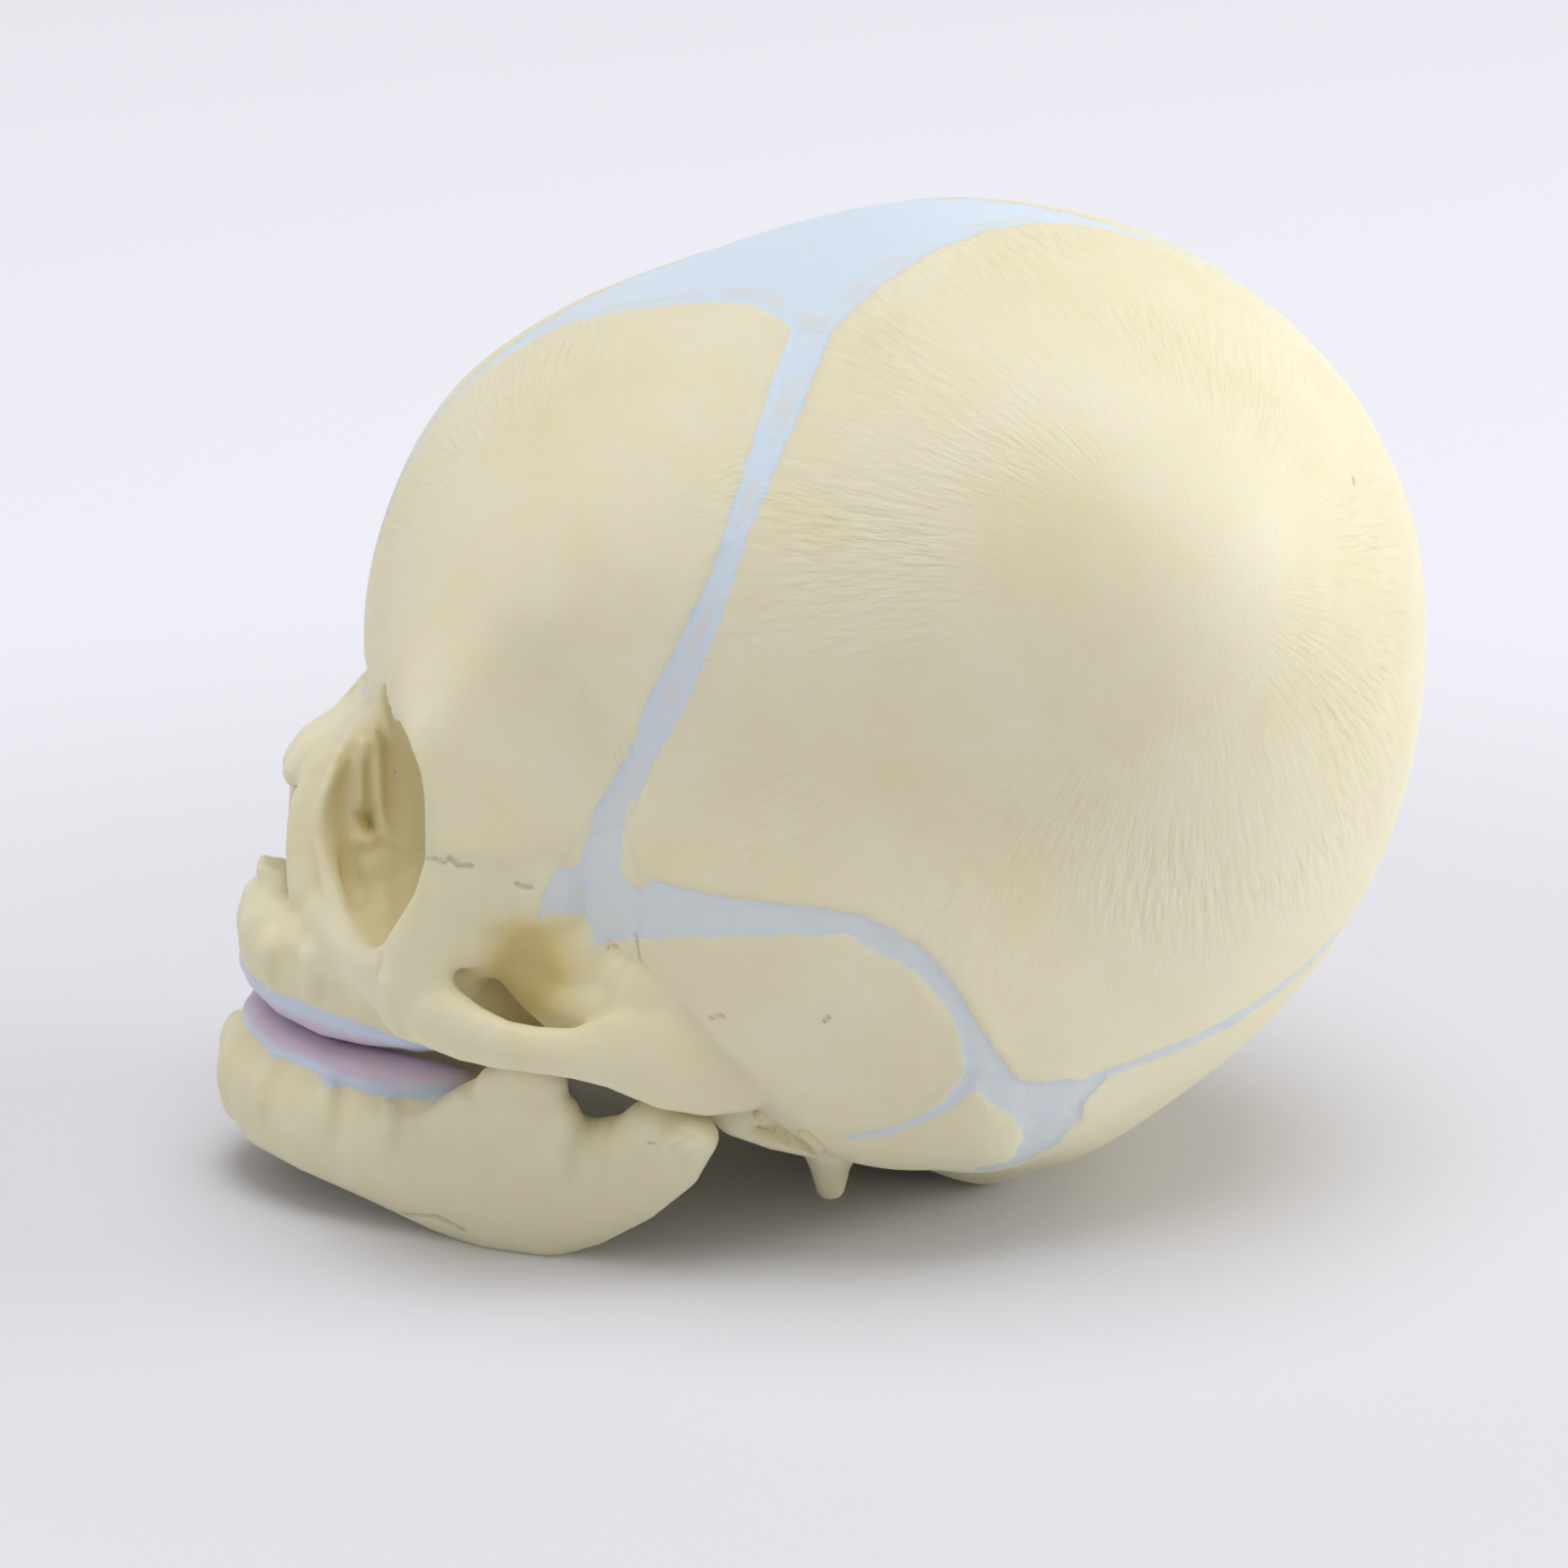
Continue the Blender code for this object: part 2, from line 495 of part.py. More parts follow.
def cut_flat(mesh, point, normal):
    """Remove what lies beyond a plane and close the cut."""
    bm = bmesh.new()
    bm.from_mesh(mesh)
    found = bmesh.ops.bisect_plane(bm, geom=bm.verts[:] + bm.edges[:] + bm.faces[:], dist=MERGE_DISTANCE,
                                   plane_co=Vector(point), plane_no=Vector(normal), clear_outer=True)
    rim = [item for item in found['geom_cut'] if isinstance(item, bmesh.types.BMEdge)]
    bmesh.ops.triangle_fill(bm, use_beauty=True, use_dissolve=False, edges=rim)
    bmesh.ops.recalc_face_normals(bm, faces=bm.faces[:])
    bm.to_mesh(mesh)
    bm.free()
    return mesh


def join_or_cut(mesh, other, operation):
    """Exact Boolean of two meshes."""
    body = bpy.data.objects.new('body', mesh)
    tool = bpy.data.objects.new('tool', other)
    cutters.objects.link(body)
    cutters.objects.link(tool)
    step = body.modifiers.new('step', 'BOOLEAN')
    step.operation = operation
    step.solver = 'EXACT'
    step.use_self = True
    step.object = tool
    done = evaluated_mesh(body)
    bpy.data.objects.remove(body, do_unlink=True)
    bpy.data.objects.remove(tool, do_unlink=True)
    return done


def grown(mesh, amount):
    """Copy of a mesh swollen by an amount, to cut its seat in a neighbour."""
    body = bpy.data.objects.new('body', mesh.copy())
    cutters.objects.link(body)
    swell = body.modifiers.new('swell', 'DISPLACE')
    swell.strength = amount
    swell.mid_level = 0.0
    done = evaluated_mesh(body)
    bpy.data.objects.remove(body, do_unlink=True)
    return done


def ball_mesh(centre_shares, radius_shares):
    bm = bmesh.new()
    add_ball(bm, np.array(centre_shares) * SCALE, np.array(radius_shares) * ONE_SHARE)
    mesh = bpy.data.meshes.new('ball')
    bm.to_mesh(mesh)
    bm.free()
    return mesh


def rod_mesh(centre, radius, length, sides=16):
    """Round rod along X."""
    bm = bmesh.new()
    place = Matrix.Translation(Vector(centre)) @ Matrix.Rotation(math.pi / 2, 4, 'Y')
    bmesh.ops.create_cone(bm, cap_ends=True, cap_tris=False, segments=sides, radius1=radius, radius2=radius,
                          depth=length, matrix=place)
    mesh = bpy.data.meshes.new('rod')
    bm.to_mesh(mesh)
    bm.free()
    return mesh


def vault_block(clearance):
    """The whole braincase as one solid, grown by a clearance, to seat the face against it."""
    bm = bmesh.new()
    bmesh.ops.create_icosphere(bm, subdivisions=4, radius=1.0)
    for vert in bm.verts:
        ray = np.array(vert.co.normalized())
        radius = float(vault_radius(ray[None])[0])
        vert.co = Vector((CENTRE_SHARES + ray * radius) * SCALE + ray * clearance)
    mesh = bpy.data.meshes.new('vault_block')
    bm.to_mesh(mesh)
    bm.free()
    return mesh


def main_body(mesh):
    """Keep the largest connected part, merge close points and drop flat faces."""
    bm = bmesh.new()
    bm.from_mesh(mesh)
    bmesh.ops.remove_doubles(bm, verts=bm.verts[:], dist=MERGE_DISTANCE)
    bmesh.ops.dissolve_degenerate(bm, edges=bm.edges[:], dist=MERGE_DISTANCE)
    todo = set(bm.verts)
    groups = []
    while todo:
        group = {todo.pop()}
        front = list(group)
        while front:
            vert = front.pop()
            for edge in vert.link_edges:
                other = edge.other_vert(vert)
                if other in todo:
                    todo.discard(other)
                    group.add(other)
                    front.append(other)
        groups.append(group)
    groups.sort(key=len)
    bmesh.ops.delete(bm, geom=[vert for group in groups[:-1] for vert in group], context='VERTS')
    bmesh.ops.triangulate(bm, faces=bm.faces[:])
    face_outwards(bm)
    bm.to_mesh(mesh)
    bm.free()
    return mesh


def seated(mesh, *cuts):
    for other in cuts:
        mesh = join_or_cut(mesh, other.copy(), 'DIFFERENCE')
    return main_body(mesh)


def pair(name, mesh, look, parent):
    """Place a left piece and its mirror twin."""
    new_object(f'{name}_left', mesh, look, parent)
    new_object(f'{name}_right', mirror_image(mesh), look, parent)


clear_scene()
skull = bpy.data.collections.new('infant_skull_model')
cutters = bpy.data.collections.new('cutters')
bpy.context.scene.collection.children.link(skull)
bpy.context.scene.collection.children.link(cutters)
cutters.hide_render = True
root = bpy.data.objects.new('cranium', None)
skull.objects.link(root)


# Cast bones of the braincase.
frontal = both_sides(patch, 'frontal', ['metopic'], ['fontanelle_front'], ['coronal_front', 'pterion_front'],
                     ['temple_edge', 'brow'], 13, 12, BONE)[0]
both_sides(patch, 'parietal', ['fontanelle_back', 'sagittal'], ['lambda_side', 'lambdoid_upper'],
           ['-mastoid_upper', '-squamous_upper', '-pterion_back'], ['-coronal_back'], 16, 11, BONE)
occiput = patch('occipital_squama', ['-lambdoid_lower', 'lambda_low', '*lambdoid_lower'], ['*mastoid_low'],
                ['*occiput_low', '-foramen_back', '-occiput_low'], ['-mastoid_low'], 18, 9, BONE)
cut_flat(occiput.data, *TABLE)
both_sides(patch, 'occipital_lateral', ['occiput_low'], ['foramen_side'], ['condyle_front'], ['condyle_rear'],
           8, 6, BONE)
patch('occipital_basilar', ['foramen_front'], ['*basilar_side'], ['-basilar_front'], ['-basilar_side'],
      4, 4, BONE)
patch('sphenoid_body', ['basilar_front'], ['*body_side'], ['-body_front'], ['-body_side'], 4, 4, BONE)
wing = both_sides(patch, 'sphenoid_wing', ['brow'], ['-orbit_inner', '-body_side'],
                  ['-basilar_side', '-petrous_front'], ['-temporal_front', '-pterion_low', 'temple_edge'],
                  9, 9, FACE_BONE)[0]

# Painted membranes between the bones, sunk a little under their surface.
patch('anterior_fontanelle', ['fontanelle_front', 'fontanelle_side'], ['fontanelle_back', 'fontanelle_end'],
      ['*-fontanelle_back', '*-fontanelle_side'], ['*-fontanelle_front', '-fontanelle_tip'], 10, 10,
      MEMBRANE, MEMBRANE_SINK, MEMBRANE_WALL)
patch('metopic_suture', ['metopic'], ['fontanelle_tip'], ['*-metopic'], ['-metopic_foot'], 7, 1,
      MEMBRANE, MEMBRANE_SINK, MEMBRANE_WALL)
patch('sagittal_suture', ['sagittal'], ['lambda_top'], ['*-sagittal'], ['-fontanelle_end'], 10, 1,
      MEMBRANE, MEMBRANE_SINK, MEMBRANE_WALL)
fan('posterior_fontanelle', ['-lambda_top', 'lambda_side', 'lambda_end', 'lambda_low', '*-lambda_end',
                             '*-lambda_side'], 14, MEMBRANE, MEMBRANE_SINK, MEMBRANE_WALL)
both_sides(patch, 'coronal_suture', ['coronal_front'], ['coronal_foot'], ['-coronal_back'],
           ['-fontanelle_side'], 12, 1, MEMBRANE, MEMBRANE_SINK, MEMBRANE_WALL)
both_sides(patch, 'squamosal_suture', ['squamous_upper'], ['-squamous_end'], ['-squamous_lower'],
           ['-squamous_start'], 14, 1, MEMBRANE, MEMBRANE_SINK, MEMBRANE_WALL)
both_sides(patch, 'lambdoid_suture', ['lambdoid_upper'], ['mastoid_back'], ['-lambdoid_lower'],
           ['-lambda_end'], 9, 1, MEMBRANE, MEMBRANE_SINK, MEMBRANE_WALL)
both_sides(fan, 'sphenoidal_fontanelle', ['pterion_back', 'squamous_start', '-pterion_low', '-pterion_front',
                                          'coronal_foot'], 12, MEMBRANE, MEMBRANE_SINK, MEMBRANE_WALL)
both_sides(fan, 'mastoid_fontanelle', ['mastoid_upper', 'mastoid_back', 'mastoid_low', 'mastoid_front',
                                       'squamous_end'], 16, MEMBRANE, MEMBRANE_SINK, MEMBRANE_WALL)

# Petrous part of the temporal bone, with the styloid stump and the lug that carries the jaw pin.
hinge = Vector(HINGE_SHARES * SCALE)
lug_x = HINGE_LUG_SHARE * SCALE[0]
lug_top = HINGE_LUG_TOP_SHARE * SCALE[2]
petrous = both_sides(patch, 'petromastoid', ['temporal_low', '-temporal_back'], ['-mastoid_front'],
                     ['-condyle_rear', '-condyle_front'], ['-petrous_front'], 12, 5, BONE)
lug = rod_mesh((lug_x, hinge.y, hinge.z), HINGE_LUG_RADIUS, 2 * HINGE_LUG_HALF_THICKNESS)
bar = bmesh.new()
bar_height = lug_top - hinge.z
bmesh.ops.create_cube(bar, size=1.0, matrix=Matrix.Translation((lug_x, hinge.y, hinge.z + bar_height / 2))
                      @ Matrix.Diagonal((LUG_BAR_SHARE * 2 * HINGE_LUG_HALF_THICKNESS,
                                         LUG_BAR_SHARE * 2 * HINGE_LUG_RADIUS, bar_height, 1.0)))
bar_mesh = bpy.data.meshes.new('bar')
bar.to_mesh(bar_mesh)
bar.free()
plate = petrous[0].data.copy()
plate = join_or_cut(plate, bar_mesh, 'UNION')
plate = join_or_cut(plate, lug, 'UNION')
plate = join_or_cut(plate, clay('styloid', [STYLOID_SHARES], faces=80), 'UNION')
pin_bore = rod_mesh((lug_x, hinge.y, hinge.z), PIN_RADIUS + PIN_CLEARANCE, CUTTER_OVERRUN)
plate = seated(plate, pin_bore)
for old in petrous:
    bpy.data.objects.remove(old, do_unlink=True)
pair('petromastoid', plate, BONE, root)

# Squamous part of the temporal bone, with the zygomatic process that reaches forward from it.
squama = both_sides(patch, 'temporal', ['squamous_lower'], ['temporal_back'], ['-temporal_low'],
                    ['-temporal_front'], 14, 4, BONE)
process = clay('process', [ARCH_SHARES], faces=190)
process = seated(process, grown(plate, GAP))
squama_mesh = main_body(join_or_cut(squama[0].data.copy(), process, 'UNION'))
for old in squama:
    bpy.data.objects.remove(old, do_unlink=True)
pair('temporal_squama', squama_mesh, BONE, root)

# Ear ring, an open hoop that lies on the petrous bone.
EAR_STEPS = 14
middle = direction(*EAR_PLACE)
sideways = np.cross(middle, (0, 0, 1))
sideways = sideways / np.linalg.norm(sideways)
upwards = np.cross(sideways, middle)
spread = EAR_RING_RADIUS / float(vault_radius(middle[None])[0] * ONE_SHARE)
hoop = bpy.data.curves.new('hoop', 'CURVE')
hoop.dimensions = '3D'
hoop.bevel_depth = EAR_RING_TUBE_RADIUS
hoop.bevel_resolution = 1
hoop.use_fill_caps = True
spline = hoop.splines.new('POLY')
spline.points.add(EAR_STEPS)
for k, bend in enumerate(np.radians(np.linspace(EAR_RING_OPENING, 360 - EAR_RING_OPENING, EAR_STEPS + 1))):
    ray = middle + spread * (math.sin(bend) * sideways + math.cos(bend) * upwards)
    ray = ray / np.linalg.norm(ray)
    spline.points[k].co = (*vault_points(ray[None], -EAR_RING_LIFT)[0], 1.0)
hoop_object = bpy.data.objects.new('hoop', hoop)
cutters.objects.link(hoop_object)
pair('tympanic_ring', main_body(evaluated_mesh(hoop_object)), FACE_BONE, root)
bpy.data.objects.remove(hoop_object, do_unlink=True)

# Face bones, each seated on the braincase and on its neighbours.
block = vault_block(FIT_GAP)
brow_seats = (grown(frontal.data, BROW_SEAT_GAP), grown(wing.data, BROW_SEAT_GAP))
orbit_cut = ball_mesh(*ORBIT_CUT_SHARES)
nose_cut = ball_mesh(*NOSE_CUT_SHARES)
half_gap = GAP / 2
nasal = clay('nasal', [NASAL_SHARES], faces=180, voxel=THIN_CLAY_VOXEL)
nasal = seated(cut_flat(nasal, (half_gap, 0, 0), (-1, 0, 0)), block, *brow_seats)
pair('nasal', nasal, FACE_BONE, root)
zygomatic = clay('zygomatic', [ZYGOMATIC_SHARES, *ZYGOMATIC_ARM_SHARES], faces=420)
zygomatic = seated(zygomatic, block, orbit_cut, grown(squama_mesh, GAP), *brow_seats)
pair('zygomatic', zygomatic, FACE_BONE, root)
maxilla = clay('maxilla', [ALVEOLAR_SHARES, *MAXILLA_STRUT_SHARES], MAXILLA_MASS_SHARES, faces=820)
seat_y, seat_z, slope = UPPER_GUM_SEAT_SHARES
seat = Vector((0, seat_y * SCALE[1], seat_z * SCALE[2]))
maxilla = cut_flat(maxilla, (half_gap, 0, 0), (-1, 0, 0))
maxilla = cut_flat(maxilla, seat + Vector((0, 0, half_gap)), (0, slope, -1))
maxilla = seated(maxilla, nose_cut, orbit_cut, block, grown(nasal, GAP), grown(zygomatic, GAP), *brow_seats)
pair('maxilla', maxilla, FACE_BONE, root)
ethmoid = seated(clay('ethmoid', [ETHMOID_SHARES], faces=150, voxel=THIN_CLAY_VOXEL), block,
                 grown(maxilla, GAP), grown(nasal, GAP), *brow_seats)
pair('ethmoid', ethmoid, FACE_BONE, root)
vomer = clay('vomer', [VOMER_SHARES], faces=160, voxel=THIN_CLAY_VOXEL)
vomer = seated(vomer, block, grown(maxilla, GAP), grown(mirror_image(maxilla), GAP))
new_object('vomer', vomer, FACE_BONE, root)
upper_gum = clay('upper_gum', [UPPER_GUM_SHARES], faces=560, mirrored=True)
upper_gum = main_body(cut_flat(upper_gum, seat - Vector((0, 0, half_gap)), (0, -slope, 1)))
new_object('upper_gum', upper_gum, GUM, root)

# Lower jaw on its hinge axis, through both condyles.
jaw = bpy.data.objects.new('jaw', None)
skull.objects.link(jaw)
jaw.parent = root
jaw.location = (0, hinge.y, hinge.z)
to_jaw = Matrix.Translation((0, -hinge.y, -hinge.z))
seat_y, seat_z, slope = LOWER_GUM_SEAT_SHARES
seat = Vector((0, seat_y * SCALE[1], seat_z * SCALE[2]))
lower_gum = clay('lower_gum', [LOWER_GUM_SHARES], faces=460, mirrored=True)
lower_gum = main_body(cut_flat(lower_gum, seat, (0, slope, -1)))
mandible = clay('mandible', [MANDIBLE_SHARES], MANDIBLE_MASS_SHARES, faces=1350, mirrored=True)
cuts = [grown(lower_gum, GAP)]
for sign in (1, -1):
    cuts.append(rod_mesh((sign * hinge.x, hinge.y, hinge.z), PIN_RADIUS + PIN_CLEARANCE, CUTTER_OVERRUN))
    cuts.append(rod_mesh((sign * lug_x, hinge.y, hinge.z), LUG_POCKET_RADIUS,
                         2 * HINGE_LUG_HALF_THICKNESS + 2 * GAP, 20))
mandible = seated(cut_flat(mandible, *TABLE), *cuts)
for name, mesh, look in (('mandible', mandible, FACE_BONE), ('lower_gum', lower_gum, GUM)):
    mesh.transform(to_jaw)
    new_object(name, mesh, look, jaw)

# Steel pins, fixed in the lugs, that the condyles turn on.
pin_start = lug_x - HINGE_LUG_HALF_THICKNESS
pin_end = HINGE_PIN_END_SHARE * SCALE[0]
pin = rod_mesh(((pin_start + pin_end) / 2, hinge.y, hinge.z), PIN_RADIUS, pin_end - pin_start, 12)
pair('jaw_pin', pin, STEEL, root)

# Put the origin under the middle of the box around the whole skull.
bpy.context.view_layer.update()
corners = np.array([node.matrix_world @ vert.co for node in skull.objects if node.type == 'MESH'
                    for vert in node.data.vertices])
low = corners.min(0)
high = corners.max(0)
root.location = (0, -(low[1] + high[1]) / 2, -low[2])
bpy.context.view_layer.update()
print('box', low, high, 'triangles', sum(len(face.vertices) - 2 for node in skull.objects
                                         if node.type == 'MESH' for face in node.data.polygons))
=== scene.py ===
"""Looks of the infant skull teaching model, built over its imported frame.

The skull is cast in cream PVC, its sutures, fontanelles and gums are painted, and its lower jaw swings
on two steel pins. The form is worked in millimetres in the skull's own frame and moved at the end.
"""
import math

import bmesh
import bpy
import numpy as np
from mathutils import Matrix, Vector
from mathutils.kdtree import KDTree


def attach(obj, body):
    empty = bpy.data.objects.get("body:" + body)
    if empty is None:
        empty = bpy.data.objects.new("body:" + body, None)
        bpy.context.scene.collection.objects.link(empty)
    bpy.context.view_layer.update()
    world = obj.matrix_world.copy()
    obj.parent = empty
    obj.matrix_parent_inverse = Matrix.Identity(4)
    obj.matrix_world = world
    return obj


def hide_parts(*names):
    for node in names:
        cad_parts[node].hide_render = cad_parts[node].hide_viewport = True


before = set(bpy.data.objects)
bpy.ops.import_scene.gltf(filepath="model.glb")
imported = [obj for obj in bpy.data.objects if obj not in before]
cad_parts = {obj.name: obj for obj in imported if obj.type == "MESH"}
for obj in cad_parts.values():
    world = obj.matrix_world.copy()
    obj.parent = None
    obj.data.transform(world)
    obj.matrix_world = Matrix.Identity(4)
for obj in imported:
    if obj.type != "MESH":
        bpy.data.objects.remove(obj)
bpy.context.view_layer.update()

# Camera, table and light.
# The camera stands where the photograph was taken from. The skull lies on a wide sheet of white paper. A
# large lamp hangs overhead, weaker ones stand before the face and behind the occiput, and the room is pale.
MM = 0.001
FRAME_SHIFT = np.array([0.0, -2.565, 0.0])
PICTURE_PX = 1600
FOCAL_PX = 5320.0
SENSOR_MM = 36.0
CAMERA_DISTANCE = 560.0
CAMERA_TILT = math.radians(17.0)
CAMERA_TURN = math.radians(4.0)
CAMERA_TARGET = np.array([0.0, -0.5, 42.0])
TO_CAMERA = np.array([math.cos(CAMERA_TILT) * math.cos(CAMERA_TURN),
                      -math.cos(CAMERA_TILT) * math.sin(CAMERA_TURN), math.sin(CAMERA_TILT)])
CAMERA_PLACE = CAMERA_TARGET + CAMERA_DISTANCE * TO_CAMERA

scene = bpy.context.scene
scene.view_settings.view_transform = "Standard"
camera_data = bpy.data.cameras.new("camera")
camera_data.sensor_width = SENSOR_MM
camera_data.lens = FOCAL_PX / PICTURE_PX * SENSOR_MM
camera = bpy.data.objects.new("camera", camera_data)
scene.collection.objects.link(camera)
camera.location = (CAMERA_PLACE + FRAME_SHIFT) * MM
camera.rotation_mode = "QUATERNION"
camera.rotation_quaternion = Vector(-TO_CAMERA).to_track_quat("-Z", "Y")
scene.camera = camera


def colour(code):
    """Linear colour of an sRGB hex code."""
    parts = [int(code[k:k + 2], 16) / 255 for k in (1, 3, 5)]
    return (*[part / 12.92 if part <= 0.04045 else ((part + 0.055) / 1.055) ** 2.4 for part in parts], 1.0)


def connect(tree, node, **links):
    """Give sockets, by their name or as _ and their number, a value or what another node puts out."""
    for key, value in links.items():
        socket = node.inputs[int(key[1:]) if key[1:].isdigit() else key.replace("_", " ")]
        if isinstance(value, bpy.types.Node):
            value = next(output for output in value.outputs if output.enabled)
        if isinstance(value, bpy.types.NodeSocket):
            tree.links.new(value, socket)
        else:
            socket.default_value = value


def add_node(tree, kind, settings=None, **links):
    """Add a node with its settings and links."""
    node = tree.nodes.new("ShaderNode" + kind)
    for key, value in (settings or {}).items():
        setattr(node, key, value)
    connect(tree, node, **links)
    return node


def new_material(name):
    """A new material, its node tree and its shader."""
    made = bpy.data.materials.new(name)
    made.use_nodes = True
    return made, made.node_tree, made.node_tree.nodes["Principled BSDF"]


SMOOTH = {"interpolation_type": "SMOOTHSTEP"}
COLOURS = {"data_type": "RGBA"}

# White paper with a dull, faintly rough face, a little greyer near the middle of the sheet.
TABLE_SIZE = 4.0
bm = bmesh.new()
bmesh.ops.create_grid(bm, x_segments=1, y_segments=1, size=TABLE_SIZE / 2)
mesh = bpy.data.meshes.new("table")
bm.to_mesh(mesh)
bm.free()
table = bpy.data.objects.new("table", mesh)
scene.collection.objects.link(table)
paper, tree, shader = new_material("white_paper")
here = add_node(tree, "TexCoord").outputs["Object"]
tooth = add_node(tree, "TexNoise", Vector=here, Scale=900.0, Detail=2.0)
spread = add_node(tree, "VectorMath", {"operation": "LENGTH"}, _0=here)
spread = add_node(tree, "MapRange", SMOOTH, Value=spread, From_Min=0.08, From_Max=0.26)
sheet = add_node(tree, "Mix", COLOURS, _0=spread, _6=colour("#E2E3EB"), _7=colour("#F3F4FD"))
connect(tree, shader, Base_Color=sheet, Roughness=0.9, Specular_IOR_Level=0.1,
        Normal=add_node(tree, "Bump", Height=tooth, Strength=0.15, Distance=0.2 * MM))
mesh.materials.append(paper)

# The room is seen as a pale backdrop, and lights the skull with a warmer, weaker fill.
world = bpy.data.worlds.new("studio")
scene.world = world
world.use_nodes = True
tree = world.node_tree
tree.nodes.clear()
light_path = add_node(tree, "LightPath")
see_through = add_node(tree, "Math", {"operation": "MAXIMUM"}, _0=light_path.outputs["Is Camera Ray"],
                       _1=light_path.outputs["Is Glossy Ray"])
fill = add_node(tree, "Background", Color=colour("#FFFAF0"), Strength=0.385)
backdrop = add_node(tree, "Background", Color=colour("#F0F1F9"), Strength=1.0)
add_node(tree, "OutputWorld", Surface=add_node(tree, "MixShader", _0=see_through, _1=fill, _2=backdrop))

# Each lamp's name, place and width in metres, power in watts and colour. All of them point at the skull.
LAMPS = (
    ("overhead", (0.2, 0.2, 3.4), 2.8, 69.0, "#F9F9FF"),
    ("front_fill", (0.9, -2.6, 0.8), 1.6, 8.0, "#FFFFFF"),
    ("back_fill", (0.1, 2.6, 0.55), 1.3, 33.0, "#FFFFFF"),
)
SKULL_MIDDLE = Vector((0, 0, 0.05))
for name, place, width, power, tint in LAMPS:
    lamp_data = bpy.data.lights.new(name, "AREA")
    lamp_data.shape = "DISK"
    lamp_data.size = width
    lamp_data.energy = power
    lamp_data.color = colour(tint)[:3]
    lamp = bpy.data.objects.new(name, lamp_data)
    scene.collection.objects.link(lamp)
    lamp.location = place
    lamp.rotation_mode = "QUATERNION"
    lamp.rotation_quaternion = (SKULL_MIDDLE - Vector(place)).to_track_quat("-Z", "Y")

# Painted PVC.
# Every bone is moulded in cream PVC, which gives it a satin skin and soft, slightly lit edges, and matt
# paint is brushed over the sutures and gums. Each point carries its distance in millimetres to the edge of a
# paint, and the shader frays that edge.
PLUS, MINUS, TIMES, TIMES_PLUS = [{"operation": name}
                                  for name in ("ADD", "SUBTRACT", "MULTIPLY", "MULTIPLY_ADD")]
pvc, tree, shader = new_material("painted_pvc")
here = add_node(tree, "TexCoord").outputs["Object"]
paint, gum, crease_and_shade, hollow, streaky = [add_node(tree, "Attribute", {"attribute_name": name}).outputs["Fac"]
                                      for name in ("paint", "gum", "crease_and_shade", "hollow", "streaky")]
grain = add_node(tree, "Attribute", {"attribute_name": "grain"}).outputs["Vector"]
# Patterns, by the size of their features in millimetres.
fray, pores, cloud, mottle, blush = [
    add_node(tree, "TexNoise", Vector=here, Scale=1000.0 / size, Detail=detail, Roughness=roughness)
    for size, detail, roughness in ((1.6, 3.0, 0.55), (0.35, 2.0, 0.5), (22.0, 3.0, 0.5), (4.0, 3.0, 0.5),
                                    (3.0, 2.0, 0.5))]
fray_offset = add_node(tree, "Math", MINUS, _0=fray, _1=0.5)
streak = add_node(tree, "TexNoise", Vector=grain, Scale=1.0, Detail=2.0, Roughness=0.5)
streak = add_node(tree, "Math", MINUS, _0=streak, _1=0.5)
streak = add_node(tree, "Math", TIMES_PLUS, _0=streak, _1=streaky, _2=0.5)

# Cream PVC, a little yellower in patches. The hollows are painted yellower, as painted bounce light from
# wall to wall, and the deepest darker, as painted shade.
patches = add_node(tree, "MapRange", SMOOTH, Value=cloud, From_Min=0.3, From_Max=0.7)
cream = add_node(tree, "Mix", COLOURS, _0=patches, _6=colour("#EDE7C9"), _7=colour("#E7DFBA"))
specks = add_node(tree, "MapRange", SMOOTH, Value=mottle, From_Min=0.35, From_Max=0.8, To_Max=0.3)
warmed = add_node(tree, "Math", TIMES, _0=hollow, _1=0.8)
shaded = add_node(tree, "MapRange", SMOOTH, Value=hollow, From_Min=0.9, From_Max=1.6, To_Max=0.5)
# Dark creases are darker, and the deepest place behind the cheek arch is darker too, as painted shade.
creased_and_shaded = add_node(tree, "Math", TIMES_PLUS, _0=fray, _1=-0.5,
                   _2=add_node(tree, "Math", PLUS, _0=crease_and_shade, _1=0.25))
creased_and_shaded = add_node(tree, "MapRange", SMOOTH, Value=creased_and_shaded, From_Min=0.05, From_Max=0.4, To_Min=1.0,
                   To_Max=0.0)
dark_crease_and_shade = add_node(tree, "Math", TIMES, _0=creased_and_shaded, _1=0.3)
for amount, tint in ((specks, "#F0EBD6"), (warmed, "#E0CF90"), (shaded, "#B9A76A"), (dark_crease_and_shade, "#A89A68")):
    cream = add_node(tree, "Mix", COLOURS, _0=amount, _6=cream, _7=colour(tint))

# Pale blue paint over the sutures, with a frayed edge. It is greyer low down, partly painted shade and partly
# thinner paint, and greyer where it is brushed thin.
edge = add_node(tree, "Math", MINUS, _0=streak, _1=0.5)
edge = add_node(tree, "Math", TIMES_PLUS, _0=edge, _1=0.9, _2=paint)
edge = add_node(tree, "Math", TIMES_PLUS, _0=fray_offset, _1=1.3, _2=edge)
painted = add_node(tree, "MapRange", SMOOTH, Value=edge, From_Min=-0.2, From_Max=0.3)
high = add_node(tree, "SeparateXYZ", Vector=here).outputs["Z"]
high = add_node(tree, "MapRange", SMOOTH, Value=high, From_Min=0.04, From_Max=0.085)
blue = add_node(tree, "Mix", COLOURS, _0=high, _6=colour("#D6DFE3"), _7=colour("#D8E8F6"))
thin = add_node(tree, "MapRange", SMOOTH, Value=edge, From_Min=0.5, From_Max=1.4)
